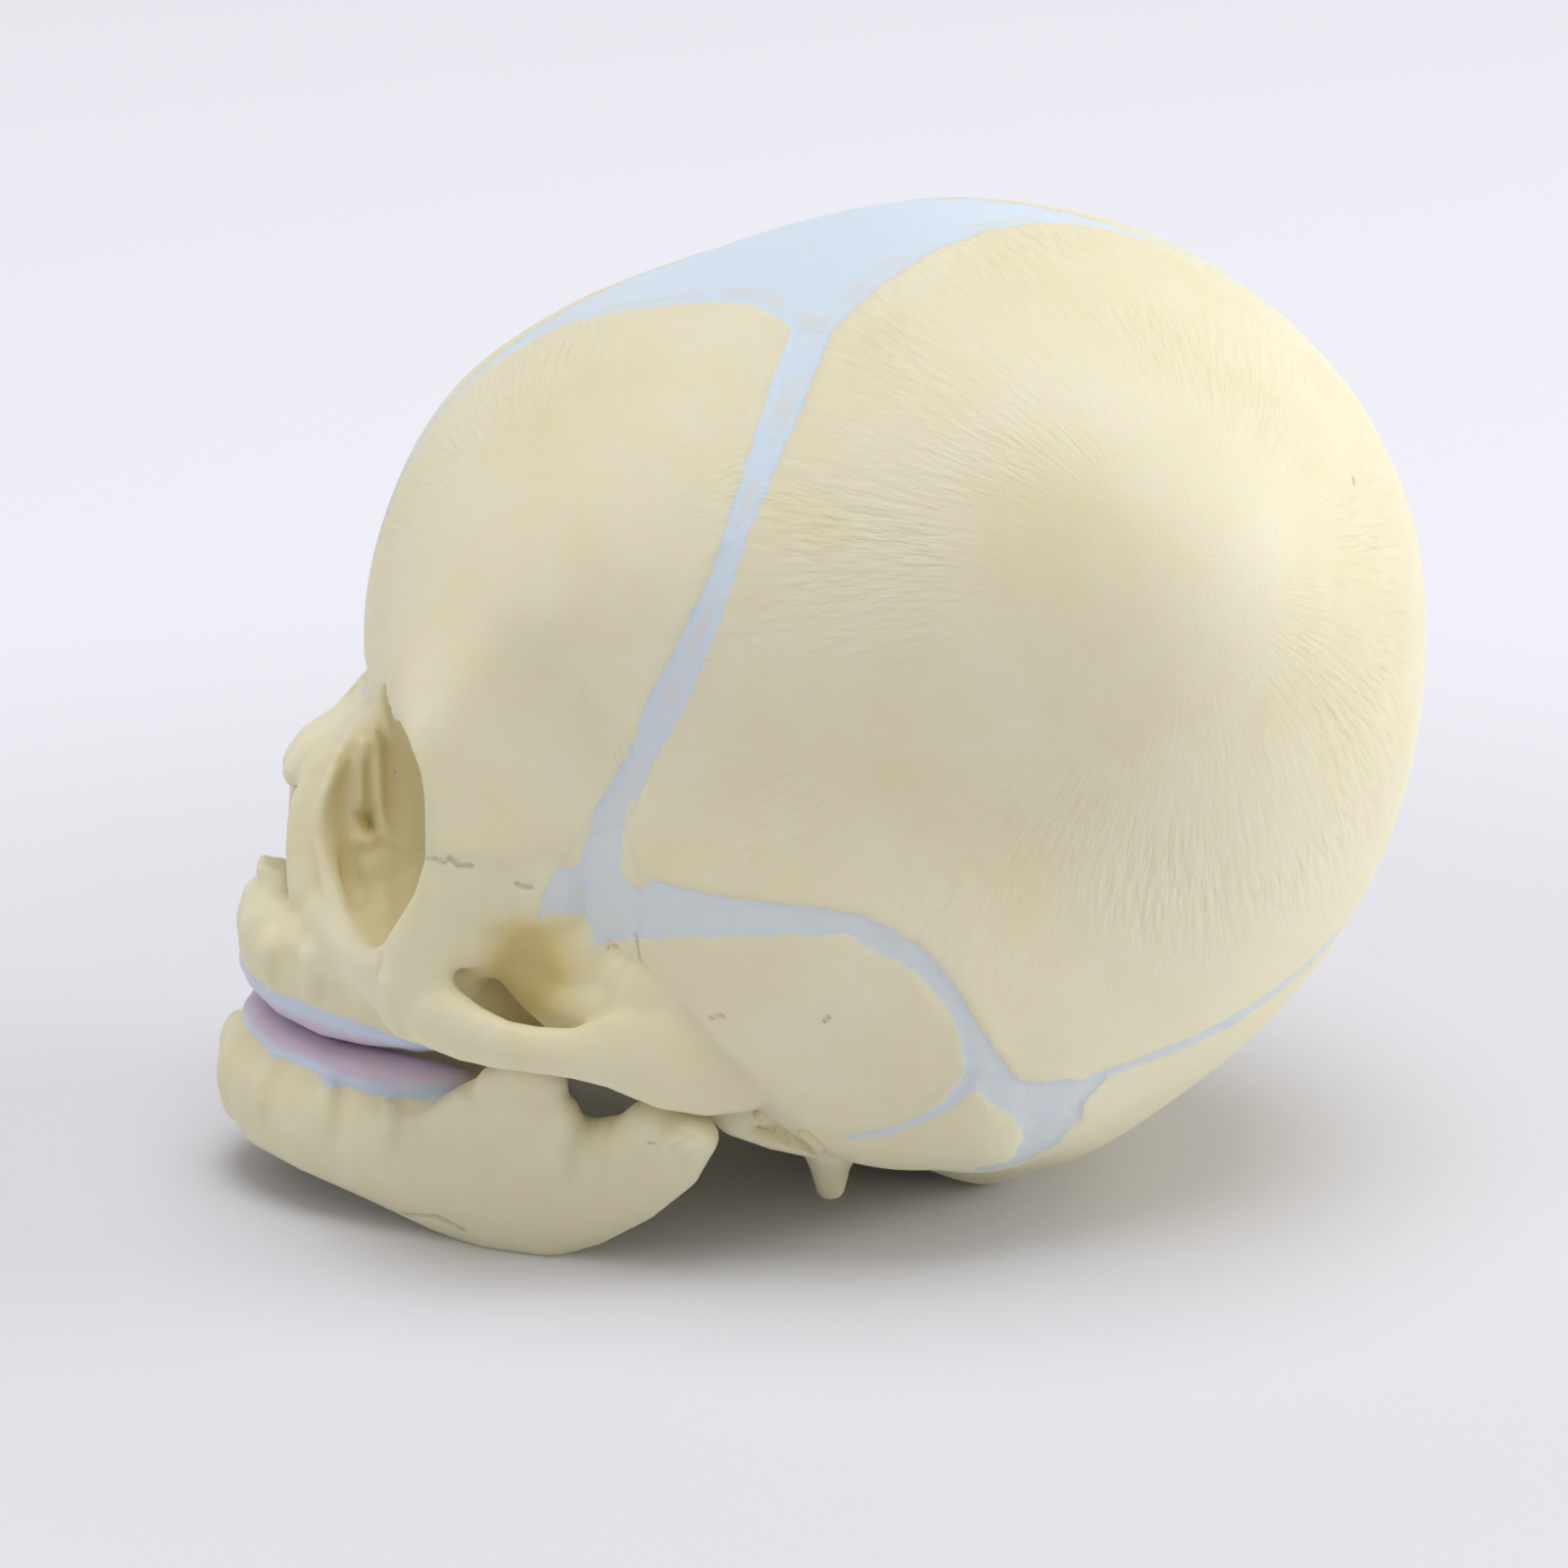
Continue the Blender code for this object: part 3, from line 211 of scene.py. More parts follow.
thick = add_node(tree, "MapRange", SMOOTH, Value=edge, From_Min=2.2, From_Max=3.4, To_Min=1.0, To_Max=0.0)
patchy = add_node(tree, "MapRange", SMOOTH, Value=mottle, From_Min=0.35, From_Max=0.65, To_Max=0.8)
for part in (thick, patchy):
    thin = add_node(tree, "Math", TIMES, _0=thin, _1=part)
blue = add_node(tree, "Mix", COLOURS, _0=thin, _6=blue, _7=colour("#DEE1E0"))
skin = add_node(tree, "Mix", COLOURS, _0=painted, _6=cream, _7=blue)

# Lilac gum paint with more shine, pinker in patches and pale blue where it ends.
gum_edge = add_node(tree, "Math", TIMES_PLUS, _0=fray_offset, _1=0.5, _2=gum)
blush = add_node(tree, "MapRange", SMOOTH, Value=blush, From_Min=0.4, From_Max=0.65)
lilac = add_node(tree, "Mix", COLOURS, _0=blush, _6=colour("#CDBFD6"), _7=colour("#D3BFCF"))
full = add_node(tree, "MapRange", SMOOTH, Value=gum_edge, From_Min=0.5, From_Max=1.5)
lilac = add_node(tree, "Mix", COLOURS, _0=full, _6=colour("#CFDCEE"), _7=lilac)
gummed = add_node(tree, "MapRange", SMOOTH, Value=gum_edge, From_Min=-0.1, From_Max=0.15)
skin = add_node(tree, "Mix", COLOURS, _0=gummed, _6=skin, _7=lilac)

# Height in millimetres: sunk paint, radial streaks, cracks, a rough face and pores.
rough = add_node(tree, "Math", TIMES_PLUS, _0=painted, _1=0.06, _2=0.05)
height = add_node(tree, "Math", TIMES, _0=painted, _1=-0.07)
for pattern, depth in ((streak, 0.42), (creased_and_shaded, -0.2), (fray, rough), (pores, 0.045)):
    height = add_node(tree, "Math", TIMES_PLUS, _0=pattern, _1=depth, _2=height)
satin = add_node(tree, "Math", TIMES_PLUS, _0=gummed, _1=-0.14, _2=0.52)
bump = add_node(tree, "Bump", Height=height, Strength=0.8, Distance=MM)
connect(tree, shader, Base_Color=skin, Roughness=satin, Specular_IOR_Level=0.35, Subsurface_Weight=0.12,
        Subsurface_Radius=(1.0, 0.7, 0.4), Subsurface_Scale=2 * MM, Normal=bump)

# Braincase.
# One rounded casting, hollow and of PVC, parted later along its sutures. The radius in its middle plane is
# listed by the angle that climbs from the face over the crown, and it is squared at its lower corners.
VAULT_CENTRE = np.array([0.0, 12.0, 57.0])
HALF_WIDTH = 46.0
PROFILE = {
    0: 57, 15: 56.6, 30: 55, 45: 51, 60: 47.3, 75: 46.3, 90: 47.1, 105: 48.6, 120: 50.7, 135: 52.8,
    150: 54.8, 165: 55.8, 180: 55.6, 195: 55.9, 210: 56.2, 225: 56.2, 240: 56.4, 255: 57.8, 262: 58.3,
    270: 54.6, 285: 48, 300: 46, 315: 47, 330: 51, 345: 55,
}
CORNERS = {
    0: 2.15, 90: 2.15, 180: 2.15, 215: 2.15, 240: 2.3, 262: 2.7, 285: 3.6, 305: 3.8, 325: 3.0, 345: 2.3,
}
# Eminences, brow and rims of the orbits: turn, side angle, height, spread and steepness.
SWELLINGS = (
    (140, 52, 4.0, 24, 2), (22, 34, 1.5, 16, 2), (352, 62, -5.0, 20, 2), (215, 60, -2.5, 22, 2),
    (270, 80, -3.0, 25, 2), (350, 35.5, 10.0, 6.0, 2), (356, 35.5, 5.0, 7.0, 2), (2, 32, 3.6, 8.0, 2),
    (3, 24, 1.6, 7.0, 2), (344, 21, -17.0, 11.0, 4), (285, 36, 2.0, 9.0, 2), (264, 24, -2.8, 9.0, 2),
    (12, 32, 2.2, 12.0, 2),
)
# The temple above the cheek bone is flattened by a plane that acts round one direction.
TEMPLE_FACING = np.array([0.988, 0.099, 0.119])
TEMPLE_DISTANCE = 30.0
TEMPLE_AT = (357, 35)
TEMPLE_SPREAD = 15.0
TEMPLE_SOFTNESS = 0.7
CORE_INSET = 0.1


def around(listed, turn):
    """Smooth value of a list at any turn, joined up after a full circle."""
    keys = np.array(sorted(listed), float)
    values = np.array([listed[int(key)] for key in keys], float)
    keys = np.concatenate([keys - 360, keys, keys + 360])
    values = np.concatenate([values, values, values])
    slopes = np.gradient(values, keys)
    turn = np.mod(turn, 360)
    at = np.searchsorted(keys, turn, side="right") - 1
    step = keys[at + 1] - keys[at]
    t = (turn - keys[at]) / step
    return ((2 * t ** 3 - 3 * t ** 2 + 1) * values[at] + (t ** 3 - 2 * t ** 2 + t) * step * slopes[at]
            + (3 * t ** 2 - 2 * t ** 3) * values[at + 1] + (t ** 3 - t ** 2) * step * slopes[at + 1])


def direction(turn, side):
    turn = np.radians(turn)
    side = np.radians(side)
    return np.stack([np.sin(side), -np.cos(side) * np.cos(turn), np.cos(side) * np.sin(turn)], -1)


def vault_radius(rays):
    """Radius of the braincase along unit vectors."""
    sine = np.abs(rays[..., 0])
    cosine = np.sqrt(np.maximum(1 - sine ** 2, 1e-9))
    turn = np.degrees(np.arctan2(rays[..., 2], -rays[..., 1]))
    power = around(CORNERS, turn)
    radius = ((cosine / around(PROFILE, turn)) ** power + (sine / HALF_WIDTH) ** power) ** (-1 / power)
    half = np.stack([sine, rays[..., 1], rays[..., 2]], -1)
    for turn_at, side_at, height, spread, steepness in SWELLINGS:
        apart = np.degrees(np.arccos(np.clip(half @ direction(turn_at, side_at), -1, 1)))
        radius = radius + height * np.exp(-(apart / spread) ** steepness)
    limit = TEMPLE_DISTANCE / np.maximum(half @ TEMPLE_FACING, 0.3)
    flat = -TEMPLE_SOFTNESS * np.logaddexp(-radius / TEMPLE_SOFTNESS, -limit / TEMPLE_SOFTNESS)
    apart = np.degrees(np.arccos(np.clip(half @ direction(*TEMPLE_AT), -1, 1)))
    return radius + (flat - radius) * np.exp(-(apart / TEMPLE_SPREAD) ** 6)


def unit(vectors):
    return vectors / np.linalg.norm(vectors, axis=-1, keepdims=True)


def round_form(subdivisions):
    """Points and triangles of a unit ball."""
    bm = bmesh.new()
    bmesh.ops.create_icosphere(bm, subdivisions=subdivisions, radius=1.0)
    places = np.array([vert.co[:] for vert in bm.verts])
    corners = np.array([[vert.index for vert in face.verts] for face in bm.faces])
    bm.free()
    return places, corners


rays, corners = round_form(7)
rays = unit(rays)
core = (VAULT_CENTRE + rays * (vault_radius(rays) - CORE_INSET)[:, None], corners)

# Face, cheek arches and the bones under the ear.
# They are modelled in clay over the braincase: a station holds x, y, z and two or three half sizes, and
# runs of stations swell into one another. The far side is the mirror image.
FACE = (
    # gum ridge of the upper jaw
    ((0.0, -55.6, 27.6, 3.8, 5.2), (4.5, -54.9, 27.4, 3.8, 5.2), (8.5, -52.4, 27.0, 3.9, 5.2),
     (12.0, -48.6, 26.0, 4.0, 5.6), (14.6, -44.4, 25.4, 4.0, 6.0), (16.6, -40.0, 24.6, 3.8, 6.0),
     (17.8, -35.6, 25.2, 3.4, 5.4)),
    # upper gum pad
    ((0.0, -55.8, 23.7, 3.5, 2.9), (4.2, -55.0, 23.5, 3.4, 2.9), (8.4, -52.8, 22.6, 3.3, 2.8),
     (11.8, -49.0, 21.6, 3.3, 2.7), (14.6, -45.0, 21.4, 3.3, 2.5), (16.8, -40.6, 21.2, 3.1, 2.0),
     (17.8, -36.6, 20.9, 2.7, 1.7)),
    # from the ridge out to the cheek
    ((11.0, -48.5, 31.0, 4.4, 3.6, 4.4), (17.0, -46.0, 30.4, 4.0, 3.2, 4.0),
     (23.0, -43.4, 29.8, 3.4, 3.0, 3.9), (28.0, -41.6, 29.0, 2.8, 2.9, 3.6),
     (32.0, -40.4, 29.6, 2.6, 2.8, 3.8)),
    # beside the nose up to the brow
    ((8.6, -50.6, 34.0, 2.2, 3.0, 2.6), (7.4, -50.6, 38.0, 1.7, 3.2, 2.6), (6.4, -50.2, 42.0, 1.5, 3.2, 2.6),
     (5.5, -48.8, 46.0, 1.4, 2.8, 2.4), (4.8, -46.0, 49.8, 1.4, 2.2, 2.0), (5.2, -43.4, 53.0, 1.6, 1.8, 2.0)),
    ((9.6, -48.4, 36.5, 1.8, 2.0, 2.4), (8.8, -47.2, 42.0, 1.4, 1.8, 2.2), (7.0, -45.8, 47.0, 1.3, 1.6, 2.0),
     (7.2, -43.6, 51.6, 1.6, 1.6, 2.0)),
    # sill and spine of the nose
    ((1.6, -54.0, 31.6, 2.0, 2.4), (1.2, -56.0, 33.8, 1.1, 1.2)),
    # bridge of the nose
    ((2.0, -43.6, 52.6, 2.2, 1.5, 1.5), (2.4, -47.2, 49.9, 2.2, 1.3, 1.4), (2.6, -50.9, 47.5, 2.2, 1.3, 1.4),
     (2.6, -52.7, 45.2, 2.1, 1.2, 1.5)),
    ((0.0, -43.8, 52.4, 1.5, 1.4, 1.4), (0.0, -47.3, 50.2, 1.4, 1.3, 1.3), (0.0, -51.2, 47.6, 1.4, 1.2, 1.3),
     (0.0, -52.9, 45.6, 1.4, 1.1, 1.3)),
    # lower rim of the orbit
    ((6.8, -45.2, 51.2, 1.0, 1.0, 1.6), (8.1, -47.5, 47.4, 1.1, 1.1, 2.0), (9.4, -49.1, 43.5, 1.2, 1.2, 2.0),
     (9.8, -49.4, 40.0, 1.3, 1.2, 1.8), (11.6, -48.9, 36.8, 1.3, 1.3, 1.6),
     (14.6, -47.9, 33.8, 1.4, 1.4, 1.4), (19.0, -46.4, 31.5, 1.5, 1.4, 1.3),
     (23.8, -44.8, 30.8, 1.6, 1.6, 1.3), (28.4, -43.4, 32.2, 1.6, 1.6, 1.4),
     (32.0, -41.8, 36.2, 1.5, 1.6, 1.6), (34.6, -40.2, 40.6, 1.4, 1.6, 1.8)),
    # tooth germs of the upper jaw
    ((4.6, -57.7, 27.6, 2.0, 1.4, 3.4),),
    ((9.8, -55.4, 27.2, 2.0, 1.6, 3.4),),
    ((14.4, -51.0, 27.0, 2.0, 2.0, 3.4),),
    # floor of the orbit
    ((14.0, -43.0, 31.0, 6.5, 5.0, 4.4), (22.0, -40.0, 30.2, 6.5, 5.0, 3.4),
     (28.0, -37.5, 31.0, 4.5, 4.5, 3.0)),
    ((9.4, -45.6, 33.6, 2.4, 3.2, 5.4), (9.2, -41.0, 33.6, 2.6, 4.0, 6.0), (9.0, -35.0, 34.6, 3.0, 4.4, 6.0)),
    ((14.0, -37.0, 33.0, 7.0, 6.0, 4.4), (22.0, -35.5, 32.5, 6.5, 5.5, 3.6),
     (27.5, -33.5, 34.5, 4.5, 4.5, 3.6)),
    ((15.0, -31.0, 36.0, 8.0, 5.0, 4.0), (24.0, -31.0, 38.0, 6.0, 5.0, 5.0)),
    # wall of the temple in three rows, down behind the cheek arch
    ((34.8, -36.0, 43.5, 1.5, 2.6, 4.8), (34.2, -32.5, 43.5, 1.5, 2.8, 4.8),
     (33.6, -29.0, 43.0, 1.6, 2.8, 4.6), (33.4, -25.5, 42.0, 1.7, 2.6, 4.4)),
    ((33.6, -35.2, 37.5, 1.5, 2.2, 4.0), (32.0, -32.2, 37.0, 1.5, 2.4, 4.0),
     (31.8, -29.0, 36.0, 1.6, 2.4, 4.0), (32.4, -25.8, 35.0, 1.8, 2.6, 4.0),
     (33.5, -22.4, 33.6, 1.8, 2.6, 4.2)),
    ((31.6, -33.4, 34.4, 1.4, 2.2, 2.6), (31.6, -30.8, 34.2, 1.4, 2.2, 2.6),
     (32.2, -28.0, 31.2, 1.5, 2.2, 3.2), (33.4, -25.0, 29.0, 1.6, 2.4, 3.4),
     (35.0, -21.8, 28.4, 1.8, 2.4, 3.6)),
    # edge of the temple over the root of the arch
    ((35.4, -18.9, 31.6, 1.8, 2.4, 3.6), (36.5, -17.8, 28.8, 2.0, 2.8, 3.8)),
    ((36.0, -18.2, 30.6, 1.9, 2.6, 4.0), (35.7, -15.5, 29.2, 2.4, 3.0, 5.0),
     (35.7, -11.5, 25.8, 2.3, 3.4, 5.0), (35.6, -7.5, 23.2, 1.9, 3.4, 4.0)),
    # wing plates deep behind the cheek arch
    ((20.0, -32.0, 27.0, 3.0, 4.0, 6.0), (19.0, -27.5, 25.0, 2.6, 4.0, 6.5)),
    # inner wall of the orbit
    ((8.6, -45.6, 43.0, 1.6, 2.6, 7.6), (8.4, -41.0, 43.6, 1.8, 3.2, 9.0), (8.0, -35.0, 43.0, 2.2, 4.0, 10.0),
     (8.0, -29.0, 43.0, 3.0, 4.0, 10.0)),
    # outer wall of the orbit, in behind the cheek bone
    ((34.0, -36.6, 40.0, 1.6, 2.6, 6.4), (32.4, -33.8, 40.0, 1.7, 2.8, 6.8),
     (30.4, -31.0, 40.0, 2.0, 3.0, 7.4), (27.0, -28.0, 40.0, 2.6, 3.0, 8.0)),
    ((34.0, -36.6, 48.0, 1.5, 2.6, 5.0), (33.0, -33.8, 48.0, 1.8, 2.8, 5.4),
     (30.4, -31.0, 48.0, 2.0, 3.0, 6.0)),
    # cheek bone from the brow down
    ((34.2, -37.2, 52.0, 1.5, 2.2, 2.6), (35.0, -38.0, 47.0, 1.5, 2.6, 2.8),
     (35.0, -38.6, 42.0, 1.6, 2.6, 2.8), (34.6, -39.6, 37.4, 1.8, 3.2, 3.0),
     (33.8, -40.2, 33.0, 2.3, 3.6, 3.6), (33.2, -39.8, 28.8, 2.6, 3.8, 3.2)),
    # cheek arch
    ((34.4, -38.4, 29.0, 2.6, 3.0, 3.6), (36.4, -35.2, 27.6, 1.8, 2.6, 3.0),
     (37.6, -31.8, 26.6, 1.5, 2.4, 2.5), (38.2, -28.4, 26.2, 1.4, 2.4, 2.4),
     (38.7, -24.0, 25.8, 1.4, 3.0, 2.6), (38.5, -20.4, 26.0, 1.6, 3.0, 4.0),
     (37.8, -15.5, 24.6, 1.9, 3.0, 5.2), (36.4, -11.0, 22.6, 2.1, 3.2, 4.6),
     (34.9, -6.0, 21.2, 2.0, 3.2, 3.2)),
    # pointed stump behind the ear
    ((26.2, 2.6, 12.0, 3.6, 3.0), (24.6, 2.6, 8.4, 2.2, 2.4), (23.1, 2.8, 4.8, 1.5, 1.5)),
    # rim of the ear hole, down to the pointed stump
    ((30.2, -9.4, 17.2, 1.3, 1.8, 2.0), (30.2, -7.4, 15.4, 1.6, 2.2, 2.0), (29.6, -3.4, 13.8, 1.8, 2.4, 2.2),
     (28.4, 0.6, 12.4, 2.0, 2.4, 2.2), (27.0, 4.5, 11.4, 2.4, 2.4, 2.6)),
    # roof over the jaw joint
    ((30.0, -12.0, 20.6, 4.0, 4.0, 1.6), (33.0, -13.0, 21.2, 3.0, 4.0, 1.4)),
    # lug for the jaw pin
    ((28.8, -13.4, 15.3, 1.1, 1.9, 1.9), (28.8, -13.4, 23.0, 1.1, 1.7, 1.9)),
    # palate and cheek masses
    ((14.5, -42.0, 28.0, 7.0, 7.0, 3.6),),
    ((6.0, -43.0, 27.0, 8.0, 9.0, 1.6),),
    ((13.0, -47.6, 28.6, 4.6, 3.8, 4.6),),
)
# Rounded spaces cut out of the clay: orbits and nose.
HOLLOWS = (
    ((22.0, -49.0, 46.0, 12.0, 9.0, 14.2), (21.4, -42.0, 46.0, 13.2, 8.0, 13.6),
     (19.6, -36.0, 46.0, 11.0, 7.0, 10.8), (17.0, -31.0, 46.0, 7.6, 6.0, 7.6),
     (14.4, -27.0, 46.0, 4.6, 5.0, 4.6)),
    ((0.0, -52.0, 39.2, 4.4, 8.0, 6.0), (0.0, -42.0, 37.6, 5.2, 8.0, 6.4)),
)
# The outer rim of each orbit is trimmed from the side, between two widths and along this outline of Y and Z.
# The outline holds at the rim's own width and slants as it goes out.
RIM_OUTLINE = ((-42.7, 62.0), (-41.7, 60.6), (-40.7, 58.8), (-39.3, 55.0), (-39.0, 52.2), (-39.0, 46.0),
               (-40.2, 42.2), (-41.8, 39.7), (-43.9, 36.6), (-52.0, 36.6), (-52.0, 57.0))
RIM_WIDTH = 36.0
RIM_TRIM = (28.0, 50.0)
RIM_SLANT = (-0.07, 0.306)
# Fineness of the skins. Each ball of clay is swollen a little, for what relaxing the skin takes off it.
SKIN_VOXEL = 0.45
SPACE_VOXEL = 0.4
CLAY_SWELL = 0.15
BALL, BALL_CORNERS = round_form(3)


def swell_run(stations, swell=CLAY_SWELL):
    """Overlapping flattened balls along stations: x, y, z, three half sizes and the turn of each."""
    balls = []
    stations = [np.array(station, float) for station in stations]
    if len(stations) == 1:
        stations = stations * 2
    for start, end in zip(stations, stations[1:]):
        length = np.linalg.norm(end[:3] - start[:3])
        count = max(1, math.ceil(3 * length / min(*start[3:], *end[3:]))) + 1 if length else 1
        heading = math.atan2(*(end - start)[:2]) if len(start) == 5 else 0.0
        for t in np.linspace(0, 1, count):
            x, y, z, *sizes = start + (end - start) * t
            radii = np.array([sizes[0], sizes[0], sizes[1]] if len(sizes) == 2 else sizes) + swell
            balls.append([x, y, z, *radii, -heading])
            if x > 0:
                balls.append([-x, y, z, *radii, heading])
    return balls


def ball_mesh(name, balls, core=None):
    """All balls, and a core form, as one mesh that still overlaps itself."""
    balls = np.array(balls)
    cosine, sine = np.cos(balls[:, 6:7]), np.sin(balls[:, 6:7])
    x, y, z = np.moveaxis(BALL[None] * balls[:, None, 3:6], 2, 0)
    places = np.stack([cosine * x - sine * y, sine * x + cosine * y, z], -1) + balls[:, None, :3]
    corners = BALL_CORNERS[None] + len(BALL) * np.arange(len(balls))[:, None, None]
    places, corners = places.reshape(-1, 3), corners.reshape(-1, 3)
    if core is not None:
        corners = np.vstack([corners, core[1] + len(places)])
        places = np.vstack([places, core[0]])
    mesh = bpy.data.meshes.new(name)
    mesh.from_pydata(places * MM, [], corners)
    return mesh


def fuse(name, mesh, voxel, rounds, hollow_out=None):
    """Fuse a mesh into one skin, hollow it out, and relax it. Returns its mesh."""
    lump = bpy.data.objects.new(name, mesh)
    scene.collection.objects.link(lump)
    join = lump.modifiers.new("join", "REMESH")
    join.mode = "VOXEL"
    join.voxel_size = voxel * MM
    if hollow_out is not None:
        tool = bpy.data.objects.new(name + "_hollows", hollow_out)
        scene.collection.objects.link(tool)
        cut = lump.modifiers.new("cut", "BOOLEAN")
        cut.operation = "DIFFERENCE"
        cut.solver = "EXACT"
        cut.object = tool
        even = lump.modifiers.new("even", "REMESH")
        even.mode = "VOXEL"
        even.voxel_size = voxel * MM
    relax = lump.modifiers.new("relax", "SMOOTH")
    relax.factor = 0.5
    relax.iterations = rounds
    graph = bpy.context.evaluated_depsgraph_get()
    graph.update()
    done = bpy.data.meshes.new_from_object(lump.evaluated_get(graph))
    for used in [lump] if hollow_out is None else [lump, tool]:
        bpy.data.objects.remove(used, do_unlink=True)
    return done


def rim_cutters(bm):
    """Add the two slanting blocks that trim the outer rims."""
    for side in (1, -1):
        ends = []
        for x in RIM_TRIM:
            out = x - RIM_WIDTH
            ends.append([bm.verts.new((side * x * MM, (y + RIM_SLANT[0] * out) * MM,
                                       (z + RIM_SLANT[1] * out) * MM)) for y, z in RIM_OUTLINE])
        for loop in ends:
            bm.faces.new(loop)
        for k in range(len(RIM_OUTLINE)):
            bm.faces.new((ends[0][k - 1], ends[0][k], ends[1][k], ends[1][k - 1]))
    bmesh.ops.recalc_face_normals(bm, faces=bm.faces)


def ease(low, high, value):
    t = np.clip((value - low) / (high - low), 0, 1)
    return t * t * (3 - 2 * t)


def read_points(mesh):
    flat = np.empty(3 * len(mesh.vertices))
    mesh.vertices.foreach_get("co", flat)
    return flat.reshape(-1, 3) / MM


def read_normals(mesh):
    flat = np.empty(3 * len(mesh.vertices))
    mesh.vertex_normals.foreach_get("vector", flat)
    return flat.reshape(-1, 3)


def write_points(mesh, points):
    mesh.vertices.foreach_set("co", (points * MM).ravel())
    mesh.update()


def to_left(vectors):
    """Copy of points or rays with the far side folded onto the left one."""
    folded = vectors.copy()
    folded[:, 0] = np.abs(folded[:, 0])
    return folded


balls = [ball for run in FACE for ball in swell_run(run)]
spaces = ball_mesh("spaces", [ball for run in HOLLOWS for ball in swell_run(run, 0.0)])
bm = bmesh.new()
bm.from_mesh(spaces)
rim_cutters(bm)
bm.to_mesh(spaces)
bm.free()
spaces = fuse("spaces", spaces, SPACE_VOXEL, 2)
cranium = fuse("cranium", ball_mesh("cranium", balls, core), SKIN_VOXEL, 3, spaces)
points = read_points(cranium)
rays = points - VAULT_CENTRE
reach = np.linalg.norm(rays, axis=1)
rays /= reach[:, None]
proud = reach - vault_radius(rays)
sides = np.where(points[:, 0] >= 0, 1, -1)
folded = to_left(points)
folded_rays = to_left(rays)

# The relaxed skin goes back to the braincase's true form wherever no clay stands on it, but not before the
# trimmed rims of the orbits and not beside the nose. How far in and up the rims reach, and the nose's root:
RIM_INNER = -10
RIM_TOP = 63
NOSE_WIDTH = 12
NOSE_TOP = 57
NOSE_DEPTH = -42
outwards = (read_normals(cranium) * rays).sum(1)
on_vault = (1 - ease(0.35, 1.3, np.abs(proud))) * ease(0.6, 0.85, outwards)
out = folded[:, 0] - RIM_WIDTH
rim_run = np.array(RIM_OUTLINE[8::-1])
rim_y = np.interp(points[:, 2] - RIM_SLANT[1] * out, rim_run[:, 1], rim_run[:, 0]) + RIM_SLANT[0] * out
before_rim = 1 - ease(0.3, 1.6, points[:, 1] - rim_y)
on_vault *= 1 - (out > RIM_INNER) * (points[:, 2] < RIM_TOP) * before_rim
on_vault *= 1 - (folded[:, 0] < NOSE_WIDTH) * (points[:, 2] < NOSE_TOP) * (points[:, 1] < NOSE_DEPTH)

